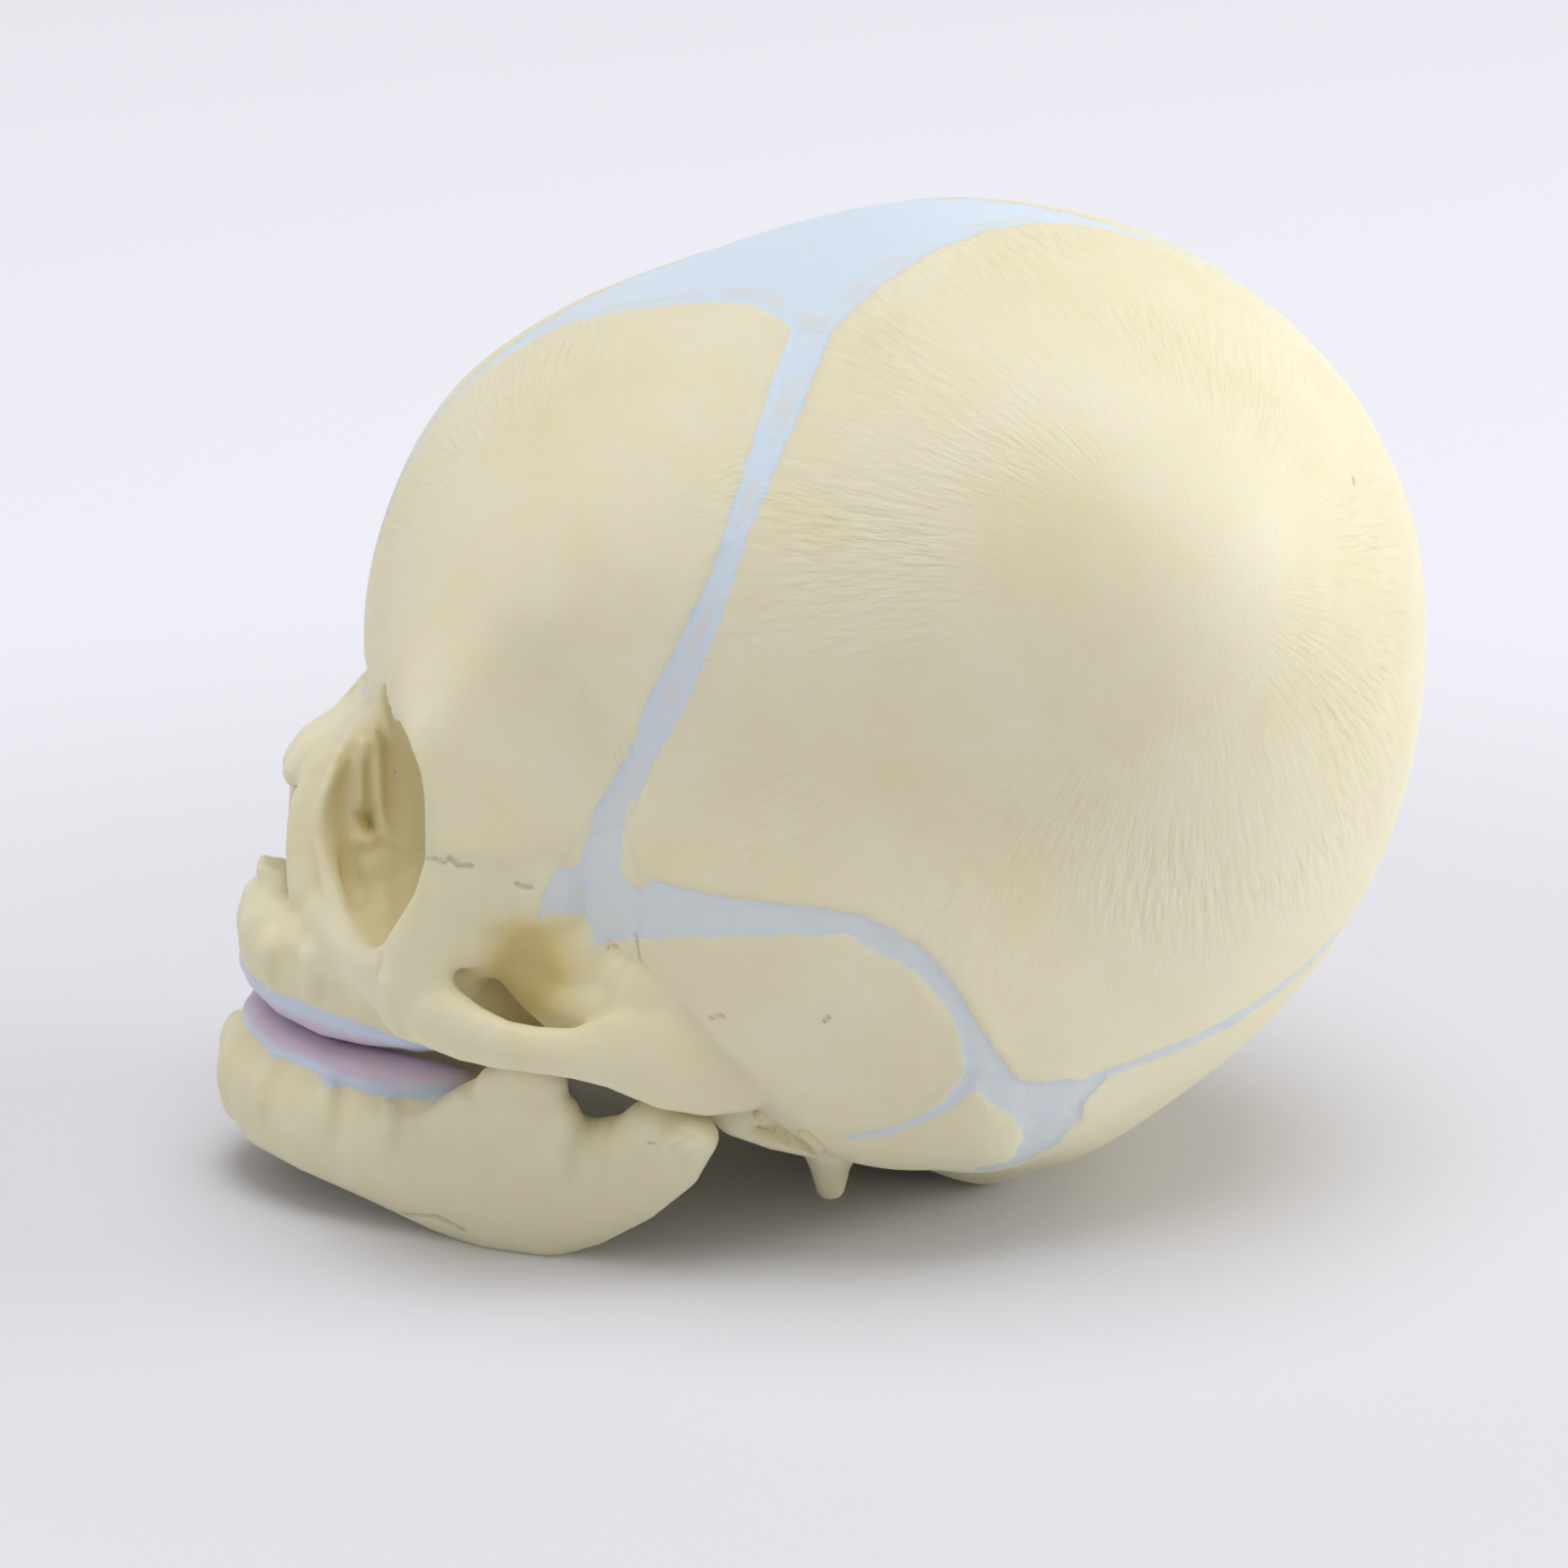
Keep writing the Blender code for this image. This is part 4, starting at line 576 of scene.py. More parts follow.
# Sutures and fontanelles.
# The seams between an infant's bones are membranes. Here they are shallow channels of the casting, brushed
# with pale blue paint, and the bones' edges stand a little proud of them.
# Seam lines of the left half, as turn and side angle in degrees.
SEAMS = {
    "metopic": [(356, 0.8), (15, 0.8), (33, 0.8)],
    "fontanelle_front": [(33, 0.8), (40, 2.2), (46, 4), (53, 8.5), (60, 13.5), (67, 19.5), (71.5, 27.5)],
    "fontanelle_side": [(71.5, 27.5), (76.5, 30.5)],
    "fontanelle_back": [(76.5, 30.5), (83, 25), (91, 18), (98, 12), (106, 6), (115, 2.2), (124, 0.8)],
    "sagittal": [(124, 0.8), (160, 0.8), (198, 0.8)],
    "coronal_front": [(71.5, 27.5), (66, 35), (59, 42.5), (49, 49), (43, 51.5), (28, 53.5), (9, 51.5),
                      (354, 47), (345, 43.5)],
    "coronal_back": [(76.5, 30.5), (71, 38.5), (63, 45.5), (55, 50), (45, 54), (29, 57), (11, 56),
                     (355, 51.5), (345.5, 48)],
    "coronal_foot": [(345, 43.5), (345.5, 48)],
    "pterion_front": [(345, 43.5), (341, 41), (335, 38)],
    "pterion_low": [(335, 38), (329, 40), (327, 46)],
    "pterion_back": [(345.5, 48), (336, 49)],
    "squamous_start": [(336, 49), (327, 46)],
    "temple_edge": [(335, 38), (338, 39.5), (341, 39.5), (345.5, 38), (348.3, 35.5)],
    "brow": [(348.3, 35.5), (353, 35.5), (358, 34), (1, 30), (2.5, 22), (0.5, 13), (357, 6), (356, 0.8)],
    "squamous_upper": [(336, 49), (326, 57), (305, 66), (285, 67), (269, 63), (261, 55), (256, 47)],
    "squamous_lower": [(327, 46), (319, 55), (300, 64), (286, 64), (274, 62), (266, 56), (265, 51)],
    "squamous_end": [(265, 51), (256, 47)],
    "mastoid_upper": [(256, 47), (250, 43), (245, 41.5)],
    "mastoid_back": [(245, 41.5), (243.5, 39.8)],
    "mastoid_low": [(243.5, 39.8), (250, 37.5), (256, 36)],
    "mastoid_front": [(256, 36), (258, 42), (262, 47), (265, 51)],
    "lambdoid_upper": [(206, 10.5), (209, 17), (213, 22.5), (220, 28), (227, 32.5), (237, 38), (245, 41.5)],
    "lambdoid_lower": [(207.5, 9.3), (210.5, 16), (214.3, 21.3), (221, 26.6), (228, 31), (237.2, 36.6),
                       (243.5, 39.8)],
    "lambda_side": [(198, 0.8), (206, 10.5)],
    "lambda_end": [(206, 10.5), (207.5, 9.3)],
    "lambda_low": [(207.5, 9.3), (211, 0), (207.5, -9.3)],
    "temporal_front": [(327, 46), (322, 42), (318, 38)],
    "temporal_low": [(318, 38), (310, 39.5), (300, 40), (291, 40), (282, 41), (274, 45)],
    "temporal_back": [(265, 51), (269, 48.5), (274, 45)],
    "petrous_front": [(318, 38), (311, 31), (300, 19), (290, 8)],
    "occiput_low": [(256, 36), (262, 24), (266.5, 10)],
    "foramen_back": [(266.5, 10), (268, 0), (266.5, -10)],
    "foramen_side": [(266.5, 10), (278, 11.5), (290, 8)],
    "foramen_front": [(290, 8), (290, -8)],
    "condyle_front": [(290, 8), (284, 18), (276, 27)],
    "condyle_rear": [(276, 27), (266, 31), (256, 36)],
    "fontanelle_tip": [(33, 0.8), (33, -0.8)],
    "fontanelle_end": [(124, 0.8), (124, -0.8)],
    "metopic_foot": [(356, 0.8), (356, -0.8)],
    "lambda_top": [(198, 0.8), (198, -0.8)],
    "basilar_side": [(290, 8), (313, 7)],
    "basilar_front": [(313, 7), (313, -7)],
    "body_side": [(313, 7), (334, 8)],
    "body_front": [(334, 8), (334, -8)],
    "orbit_inner": [(334, 8), (345, 6), (352, 3), (356, 0.8)],
}
# Outline of each piece as seams in order. A leading - runs a seam backwards, * mirrors it. Pieces with a
# twin have True, and the later ones in the list win where two claim the same place.
OUTLINES = {
    "sphenoid_wing": (True, "brow -orbit_inner -body_side -basilar_side -petrous_front -temporal_front "
                            "-pterion_low temple_edge"),
    "frontal": (True, "metopic fontanelle_front coronal_front pterion_front temple_edge brow"),
    "parietal": (True, "fontanelle_back sagittal lambda_side lambdoid_upper -mastoid_upper -squamous_upper "
                       "-pterion_back -coronal_back"),
    "occipital_squama": (False, "-lambdoid_lower lambda_low *lambdoid_lower *mastoid_low *occiput_low "
                                "-foramen_back -occiput_low -mastoid_low"),
    "occipital_lateral": (True, "occiput_low foramen_side condyle_front condyle_rear"),
    "occipital_basilar": (False, "foramen_front *basilar_side -basilar_front -basilar_side"),
    "sphenoid_body": (False, "basilar_front *body_side -body_front -body_side"),
    "petromastoid": (True, "temporal_low -temporal_back -mastoid_front -condyle_rear -condyle_front "
                           "-petrous_front"),
    "temporal_squama": (True, "squamous_lower temporal_back -temporal_low -temporal_front"),
    "anterior_fontanelle": (False, "fontanelle_front fontanelle_side fontanelle_back fontanelle_end "
                                   "*-fontanelle_back *-fontanelle_side *-fontanelle_front -fontanelle_tip"),
    "metopic_suture": (False, "metopic fontanelle_tip *-metopic -metopic_foot"),
    "sagittal_suture": (False, "sagittal lambda_top *-sagittal -fontanelle_end"),
    "posterior_fontanelle": (False, "-lambda_top lambda_side lambda_end lambda_low *-lambda_end "
                                    "*-lambda_side"),
    "coronal_suture": (True, "coronal_front coronal_foot -coronal_back -fontanelle_side"),
    "squamosal_suture": (True, "squamous_upper -squamous_end -squamous_lower -squamous_start"),
    "lambdoid_suture": (True, "lambdoid_upper mastoid_back -lambdoid_lower -lambda_end"),
    "sphenoidal_fontanelle": (True, "pterion_back squamous_start -pterion_low -pterion_front coronal_foot"),
    "mastoid_fontanelle": (True, "mastoid_upper mastoid_back mastoid_low mastoid_front squamous_end"),
    "foramen_magnum": (False, "foramen_front *-foramen_side foramen_back* foramen_side"),
}
# Pieces that are brushed with blue paint, and the seams along its edge.
PAINTED = ("anterior_fontanelle", "metopic_suture", "sagittal_suture", "posterior_fontanelle",
           "coronal_suture", "squamosal_suture", "lambdoid_suture", "sphenoidal_fontanelle",
           "mastoid_fontanelle")
PAINT_BORDERS = ("metopic", "fontanelle_front", "fontanelle_back", "sagittal", "coronal_front",
                 "coronal_back", "pterion_front", "pterion_low", "pterion_back", "squamous_upper",
                 "squamous_lower", "mastoid_upper", "mastoid_low", "mastoid_front", "lambdoid_upper",
                 "lambdoid_lower", "lambda_side", "lambda_low")


def seam(name):
    """Dense run of unit vectors along a seam, smoothed through its corners."""
    corners = direction(*np.array(SEAMS[name.strip("-*")], float).T)
    padded = np.vstack([2 * corners[0] - corners[1], corners, 2 * corners[-1] - corners[-2]])
    run = []
    for a, b, c, d in zip(padded, padded[1:], padded[2:], padded[3:]):
        for t in np.linspace(0, 1, 12, endpoint=False):
            run.append(0.5 * (2 * b + (c - a) * t + (2 * a - 5 * b + 4 * c - d) * t ** 2
                              + (3 * b - a - 3 * c + d) * t ** 3))
    run = unit(np.array([*run, corners[-1]]))
    if "*" in name:
        run = run * np.array([-1, 1, 1])
    return run[::-1] if "-" in name else run


def inside(names, rays):
    """Which unit vectors lie in the outline of seams."""
    loop = np.vstack([seam(name)[:-1] for name in names.split()])
    middle = unit(loop.mean(0))
    across = unit(np.cross(middle, (0.3, 0.5, 0.8)))
    axes = np.stack([across, np.cross(middle, across)])
    near = rays @ middle > (loop @ middle).min() - 0.02
    flat = (loop @ axes.T) / (1 + loop @ middle)[:, None]
    spots = rays[near]
    spots = (spots @ axes.T) / (1 + spots @ middle)[:, None]
    odd = np.zeros(len(spots), bool)
    for (x1, y1), (x2, y2) in zip(flat, np.roll(flat, -1, axis=0)):
        if y1 != y2:
            crossed = (y1 > spots[:, 1]) != (y2 > spots[:, 1])
            odd ^= crossed & (spots[:, 0] < (x2 - x1) * (spots[:, 1] - y1) / (y2 - y1) + x1)
    found = np.zeros(len(rays), bool)
    found[near] = odd
    return found


def dense_run(run, steps=12):
    t = np.linspace(0, len(run) - 1, steps * len(run))
    return np.stack([np.interp(t, np.arange(len(run)), run[:, k]) for k in range(3)], -1)


def nearest(places, targets):
    """Index of and distance to the nearest target of each place."""
    lookup = KDTree(len(targets))
    for k, target in enumerate(targets):
        lookup.insert(target, k)
    lookup.balance()
    found = np.array([lookup.find(place)[1:] for place in places])
    return found[:, 0].astype(int), found[:, 1]


WAVES = 14


def ripple(places, size, seed):
    """Smooth random field of about unit height, with features of about one size."""
    chance = np.random.default_rng(seed)
    headings = unit(chance.normal(size=(WAVES, 3)))
    lengths = size * chance.uniform(1.2, 3.0, WAVES)
    phases = chance.uniform(0, 2 * math.pi, WAVES)
    waves = np.sin(places @ (headings * (2 * math.pi / lengths)[:, None]).T + phases)
    return waves.sum(1) / math.sqrt(WAVES / 2)


# Distance to the edge of the blue paint in millimetres, positive in the paint and never more than FAR. Clay
# that stands further out than PAINT_PROUD, or turns away from the braincase, stays bare.
FAR = 6.0
PAINT_PROUD = 3.4
PAINT_FACING = 0.4
runs = [dense_run(seam(name)) for name in PAINT_BORDERS]
border_owner = np.concatenate([[k] * len(run) for k, run in enumerate(runs)])
dense = unit(np.vstack(runs))
dense = VAULT_CENTRE + dense * vault_radius(dense)[:, None]
near_vault = (np.abs(proud) < PAINT_PROUD) & (outwards > PAINT_FACING)
paint = np.full(len(points), -FAR)
nearest_border, apart = nearest(folded, dense)
paint[near_vault] = -np.minimum(FAR, apart[near_vault])
nearest_border = border_owner[nearest_border]
in_paint = np.zeros(len(points), bool)
for name in PAINTED:
    in_paint |= inside(OUTLINES[name][1], folded_rays)
paint[in_paint & near_vault] *= -1
# Brush strokes beyond the seams: half width in millimetres and a run of turns and side angles. A negative
# half width keeps the paint off.
STROKES = (
    (0.9, ((263.5, 50.5), (265.0, 48.7), (268.0, 46.8))),
    (0.6, ((268.0, 46.8), (271.5, 45.2), (276.5, 43.1), (281.2, 41.1))),
    (3.6, ((252.2, 41.0), (252.8, 38.4))),
    (2.8, ((252.8, 38.4), (255.2, 35.2))),
    (1.8, ((255.2, 35.2), (258.6, 32.2), (262.0, 32.6))),
    (-2.9, ((336.6, 36.0), (332.2, 37.8), (328.5, 37.9))),
    (-1.9, ((346.8, 50.4), (344.1, 50.0), (337.6, 49.1))),
    (-2.1, ((350.4, 43.6), (344.2, 42.3))),
)
for half_width, corners_of in STROKES:
    run = dense_run(direction(*np.array(corners_of).T), 40)
    run = VAULT_CENTRE + run * vault_radius(unit(run))[:, None]
    stroke = np.clip(abs(half_width) - nearest(folded[near_vault], run)[1], -FAR, FAR)
    if half_width > 0:
        paint[near_vault] = np.maximum(paint[near_vault], stroke)
    else:
        paint[near_vault] = np.minimum(paint[near_vault], -stroke)

# Radial grain: streaks run outwards from the eminences, given by turn and side angle. A point belongs to the
# bone of the nearest seam, so the grain changes over in the middle of the paint.
EMINENCES = {
    (30, 36): "metopic fontanelle_front coronal_front pterion_front pterion_low",
    (141, 56): "fontanelle_back sagittal coronal_back pterion_back squamous_upper mastoid_upper "
               "lambdoid_upper lambda_side",
    (235, 0): "lambdoid_lower lambda_low mastoid_low",
    (300, 78): "squamous_lower mastoid_front",
}
# How fine the streaks are round an eminence, their length in degrees, and what sets the two sides apart.
GRAIN_FINENESS = 36.0
GRAIN_LENGTH = 4.2
SIDE_SHIFT = 7.0
grain = np.zeros((len(points), 3))
streaky = np.zeros(len(points))
for (turn_at, side_at), bone_seams in EMINENCES.items():
    mine = np.isin(nearest_border, [PAINT_BORDERS.index(name) for name in bone_seams.split()])
    middle = direction(turn_at, side_at)
    across = unit(np.cross(middle, (0.2, 0.4, 0.9)))
    upwards = np.cross(middle, across)
    own_rays = folded_rays[mine]
    apart = np.degrees(np.arccos(np.clip(own_rays @ middle, -1, 1)))
    angle = np.arctan2(own_rays @ upwards, own_rays @ across)
    grain[mine] = np.stack([GRAIN_FINENESS * np.cos(angle), GRAIN_FINENESS * np.sin(angle),
                            apart / GRAIN_LENGTH + turn_at], -1)
    streaky[mine] = ease(9, 30, apart)
grain[:, 2] += SIDE_SHIFT * sides
streaky *= on_vault * ease(28, 44, points[:, 2]) * (0.3 + 0.7 * ease(-0.8, 0.9, ripple(folded, 11.0, 41)))
streaky *= (1 - inside(OUTLINES["sphenoid_wing"][1], folded_rays)) * (1 - ease(0.1, 0.7, paint))

# Bone edges stand a little proud of the sunk paint and are frayed along the grain.
fray_mm = 0.16 * ripple(grain, 2.4, 3) + 0.2 * ripple(folded, 1.8, 5)
frayed = paint + fray_mm * (np.abs(paint) < 5)
relief = -0.14 * ease(-0.6, 0.7, frayed) + 0.06 * ease(-3.0, -0.6, frayed) * (1 - ease(-0.6, 0.2, frayed))
points -= rays * ((proud - relief) * on_vault)[:, None]
points[:, 2] = np.maximum(points[:, 2], 0.0)
folded = to_left(points)

# Ridges and grooves of the casting: height and half width in millimetres, whether it is darkened, its run.
CREASES = (
    (0.4, 0.9, False, ((8.8, -48.0, 49.0), (9.6, -49.2, 45.0), (9.9, -49.6, 40.4), (13.0, -48.6, 35.6),
                       (18.0, -47.0, 32.6), (24.0, -45.0, 32.0))),
    (0.7, 0.6, False, ((8.5, -45.2, 49.8), (9.0, -45.7, 43.6))),
    (0.8, 0.6, False, ((8.5, -43.9, 51.4), (9.2, -43.6, 46.0), (9.6, -43.5, 41.4), (9.9, -44.8, 39.9),
                       (10.0, -46.2, 39.8))),
    (-1.6, 0.9, True, ((9.5, -44.5, 41.2), (9.4, -44.6, 42.2))),
    (-0.7, 0.8, False, ((9.5, -44.5, 41.2), (9.0, -44.8, 45.0), (8.6, -44.8, 48.0))),
    (-0.3, 0.35, False, ((11.0, -46.4, 39.9), (13.0, -43.0, 41.0), (13.6, -41.0, 40.6), (14.0, -39.4, 41.0))),
    (0.45, 0.6, False, ((30.7, -44.0, 33.0), (35.0, -43.3, 32.5), (35.1, -42.6, 29.3), (35.0, -42.0, 27.2))),
    (0.25, 1.4, False, ((8.5, -57.1, 26.8), (11.6, -55.5, 28.8), (12.0, -53.9, 29.4))),
    (-0.35, 1.5, False, ((13.7, -53.1, 27.4), (16.0, -51.2, 27.7), (16.7, -49.4, 26.7), (17.2, -47.9, 25.6))),
    (-0.5, 0.5, True, ((4.5, -46.0, 51.4), (4.3, -48.4, 48.3), (4.0, -50.5, 45.4))),
    (-0.3, 0.25, True, ((36.0, -39.1, 46.2), (36.2, -37.9, 46.2), (36.4, -37.3, 45.8), (36.6, -36.4, 46.0),
                        (36.8, -35.8, 45.4), (37.0, -34.4, 45.3))),
    (-0.25, 0.25, True, ((34.0, -30.0, 42.9), (34.0, -29.4, 42.5), (34.0, -28.5, 42.6))),
    (0.35, 0.9, False, ((22.0, -48.3, 28.0), (20.0, -49.9, 26.8))),
    (-1.3, 1.2, True, ((31.0, -5.0, 14.4), (30.8, -3.7, 14.0), (30.2, -2.2, 13.4))),
    (0.5, 1.0, False, ((29.0, -45.0, 33.2), (30.0, -43.9, 30.6), (30.5, -42.9, 27.3), (31.0, -42.1, 25.2))),
    (-1.0, 1.5, False, ((9.6, -46.9, 49.0), (9.8, -47.0, 45.0), (10.2, -47.2, 41.0), (12.0, -46.6, 37.4),
                        (15.0, -45.4, 35.0))),
    (-0.2, 0.25, True, ((38.9, -10.6, 29.4), (39.4, -9.8, 29.7), (39.7, -9.4, 29.6))),
    (-0.2, 0.25, True, ((42.0, 0.5, 30.0), (42.2, 1.3, 30.1))),
    (-0.25, 0.35, True, ((23.2, 56.0, 80.3), (23.6, 56.2, 80.0))),
    (-0.25, 0.3, True, ((35.2, -20.7, 35.8), (35.6, -19.8, 36.0))),
)
CRACK_REACH = 2.0


def crease(places, facing, creases):
    """Press the creases into places along their normals. Returns the distance to the nearest dark one."""
    dark = np.full(len(places), CRACK_REACH)
    half = to_left(places)
    near_side = np.where(places[:, 0] > 0)[0]
    for height, width, darkened, spots in creases:
        spots = [half[near_side[np.argmin(((half[near_side] - spot) ** 2).sum(1))]] for spot in spots]
        run = dense_run(np.array(spots))
        low, high = run.min(0) - 4 * width, run.max(0) + 4 * width
        close = np.where(((half > low) & (half < high)).all(1))[0]
        gap = np.sqrt(((half[close, None] - run[None]) ** 2).sum(2).min(1))
        places[close] += facing[close] * (height * np.exp(-(gap / width) ** 2))[:, None]
        if darkened:
            dark[close] = np.minimum(dark[close], gap)
    return dark


write_points(cranium, points)
creases_and_shade = crease(points, read_normals(cranium), CREASES)
write_points(cranium, points)
normals = read_normals(cranium)

# Behind the cheek arch the casting is deepest, and it is painted darker there as painted shade, like the dark
# creases.
x, y, z = folded.T
deep = (x > 17) & (x < 27.5) & (points[:, 1] > -37) & (points[:, 1] < -22) & (points[:, 2] < 33)
creases_and_shade[deep] = 0.0

# Edge of the gum paint, listed along the bow of the jaw by the angle round its middle. THIN_GUM widens the
# band in which the paint fades.
BOW_MIDDLE = -35
THIN_GUM = 0.6
bow = np.degrees(np.arctan2(x, BOW_MIDDLE - y))
upper_gum_line = np.interp(bow, (6, 16, 33, 50, 63, 74, 85),
                           (24.3, 23.9, 23.3, 22.6, 21.9, 20.8, 19.8)) + 0.08 * ripple(folded, 3.5, 21)
in_mouth = (z < 30) & (y < -33) & (x < 21.5)
gum = np.where(in_mouth, np.clip(upper_gum_line - z, -FAR, FAR), -FAR)
gum = np.where(gum > 0, THIN_GUM * gum, gum)

# Hollows, where the PVC is painted yellower as painted bounce light, and darker as painted shade in the fossa
# and behind the cheek arch, are soft rounded spaces. The orbit's starts behind the plane of its rim and takes
# only walls that face its middle.
DEEPEST = 1.6
behind_rim = -0.339 * (x - 9.5) + 0.939 * (y + 48.9) - 0.052 * (z - 43)
in_orbit = (1 - ease(0.95, 1.08, np.hypot((x - 21.5) / 14.2, (z - 46) / 15))) * ease(-0.3, 0.9, behind_rim)
inwards = normals[:, 0] * sides * (21 - x) + normals[:, 1] * (-40 - y) + normals[:, 2] * (46 - z)
in_orbit *= (y < -24) & (inwards > 0)
fossa_reach = np.sqrt(((x - 31) / 6) ** 2 + ((y + 28) / 8) ** 2 + ((z - 33) / 9) ** 2)
in_fossa = 1.15 * (1 - ease(0.35, 1.2, fossa_reach))
nose_reach = np.sqrt((x / 7) ** 2 + ((y + 42) / 10) ** 2 + ((z - 38) / 8) ** 2)
in_nose = 1 - ease(0.8, 1.2, nose_reach)
hollow = np.clip(0.6 * in_orbit + 1.5 * in_fossa + 0.8 * in_nose + DEEPEST * deep, 0, DEEPEST)

# Pieces.
# The cast skin is parted along the seams, one piece for each bone or painted membrane. Each is a closed shell
# and keeps the shading normals of the whole casting, so that no joint line shows but the modelled ones.
def read_quads(mesh):
    flat = np.empty(4 * len(mesh.polygons), np.int32)
    mesh.loops.foreach_get("vertex_index", flat)
    return flat.reshape(-1, 4)


quads = read_quads(cranium)
centres = folded[quads].mean(1)
face_rays = unit(centres - VAULT_CENTRE)
face_sides = sides[quads].sum(1) >= 0
face_proud = proud[quads].mean(1)
NAMES = list(OUTLINES) + ["nasal", "zygomatic", "maxilla", "ethmoid", "upper_gum"]
owner = np.full(len(quads), NAMES.index("sphenoid_wing"))
for name in OUTLINES:
    owner[inside(OUTLINES[name][1], face_rays)] = NAMES.index(name)

# On the face, where clay stands off the braincase, the bones are parted by place. Each takes over from the
# ones before it.
CLAY_PROUD = 0.7
BROW_FOOT = 46.4
x, y, z = centres.T
off_vault = np.abs(face_proud) > CLAY_PROUD
orbit_wall = (((x - 20) / 14.5) ** 2 + ((y + 40) / 11) ** 2 + ((z - 45) / 14.5) ** 2) < 1
face_part = off_vault & (y < -24) & (z < 56)
owner[face_part & (y < -31) & (z < 50)] = NAMES.index("maxilla")
cheek_top = BROW_FOOT + 0.4 * ripple(centres, 1.2, 31)
cheek_side = np.interp(z, [25, 30, 33], [31, 29.5, 23])
owner[face_part & (z < cheek_top) & (y < -30.5) & (x > cheek_side)] = NAMES.index("zygomatic")
owner[face_part & (z > BROW_FOOT) & (x > 20)] = NAMES.index("frontal")
owner[face_part & orbit_wall & (x < 14) & (y > -46) & (z > 34)] = NAMES.index("ethmoid")
owner[face_part & (x < 4.7) & (y < -42) & (z > 43.4)] = NAMES.index("nasal")
owner[off_vault & (y > -30.5) & (x > 30) & (z < 32)] = NAMES.index("temporal_squama")
owner[(y > -30) & (y < 6) & (z < 17) & off_vault] = NAMES.index("petromastoid")
owner[(z < 30) & (y < -33) & (x < 21.5) & (gum[quads].mean(1) > 0)] = NAMES.index("upper_gum")
TWINNED = {name: twinned for name, (twinned, _) in OUTLINES.items()}
TWINNED.update(nasal=True, zygomatic=True, maxilla=True, ethmoid=True, upper_gum=False)
# Thickness of the walls in millimetres.
VAULT_WALL = 2.0
FACE_WALL = 0.6
MEMBRANE_WALL = 1.4


def shell(name, mesh_points, mesh_normals, corners, wall, values):
    """Closed shell of some faces of a casting, with its shading normals and painted values."""
    used, corners = np.unique(corners, return_inverse=True)
    corners = corners.reshape(-1, 4)
    edges = np.stack([corners, np.roll(corners, -1, axis=1)], -1).reshape(-1, 2)
    keys = np.sort(edges, axis=1)
    keys = keys[:, 0].astype(np.int64) * len(used) + keys[:, 1]
    _, first, counts = np.unique(keys, return_index=True, return_counts=True)
    rim = edges[first[counts == 1]]
    count = len(used)
    outer = mesh_points[used]
    facing = mesh_normals[used]
    places = np.vstack([outer, outer - facing * wall])
    walls = np.stack([rim[:, 1], rim[:, 0], rim[:, 0] + count, rim[:, 1] + count], -1)
    faces = np.vstack([corners, corners[:, ::-1] + count, walls])
    mesh = bpy.data.meshes.new(name)
    mesh.from_pydata((places + FRAME_SHIFT) * MM, [], faces)
    for key, value in values.items():
        both = np.concatenate([value[used], value[used]])
        kind = "FLOAT_VECTOR" if both.ndim == 2 else "FLOAT"
        stored = mesh.attributes.new(key, kind, "POINT")
        stored.data.foreach_set("vector" if both.ndim == 2 else "value", both.astype(np.float32).ravel())
    mesh.shade_smooth()
    mesh.normals_split_custom_set_from_vertices(np.vstack([facing, -facing]).tolist())
    return mesh


def place_piece(node, mesh, material, body="cranium"):
    """Show a mesh in the place of a CAD node."""
    mesh.materials.append(material)
    piece = bpy.data.objects.new(node + "_cast", mesh)
    scene.collection.objects.link(piece)
    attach(piece, body)
    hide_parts(node)


values = {"paint": paint, "gum": gum, "crease_and_shade": creases_and_shade, "hollow": hollow, "grain": grain, "streaky": streaky}
BOTH_SIDES = (("_left", face_sides), ("_right", ~face_sides))
for k, name in enumerate(NAMES):
    if name == "foramen_magnum":
        continue
    wall = MEMBRANE_WALL if name in PAINTED else VAULT_WALL if name in OUTLINES else FACE_WALL
    for ending, chosen in BOTH_SIDES if TWINNED[name] else (("", True),):
        mask = (owner == k) & chosen
        place_piece(name + ending, shell(name + ending, points, normals, quads[mask], wall, values), pvc)

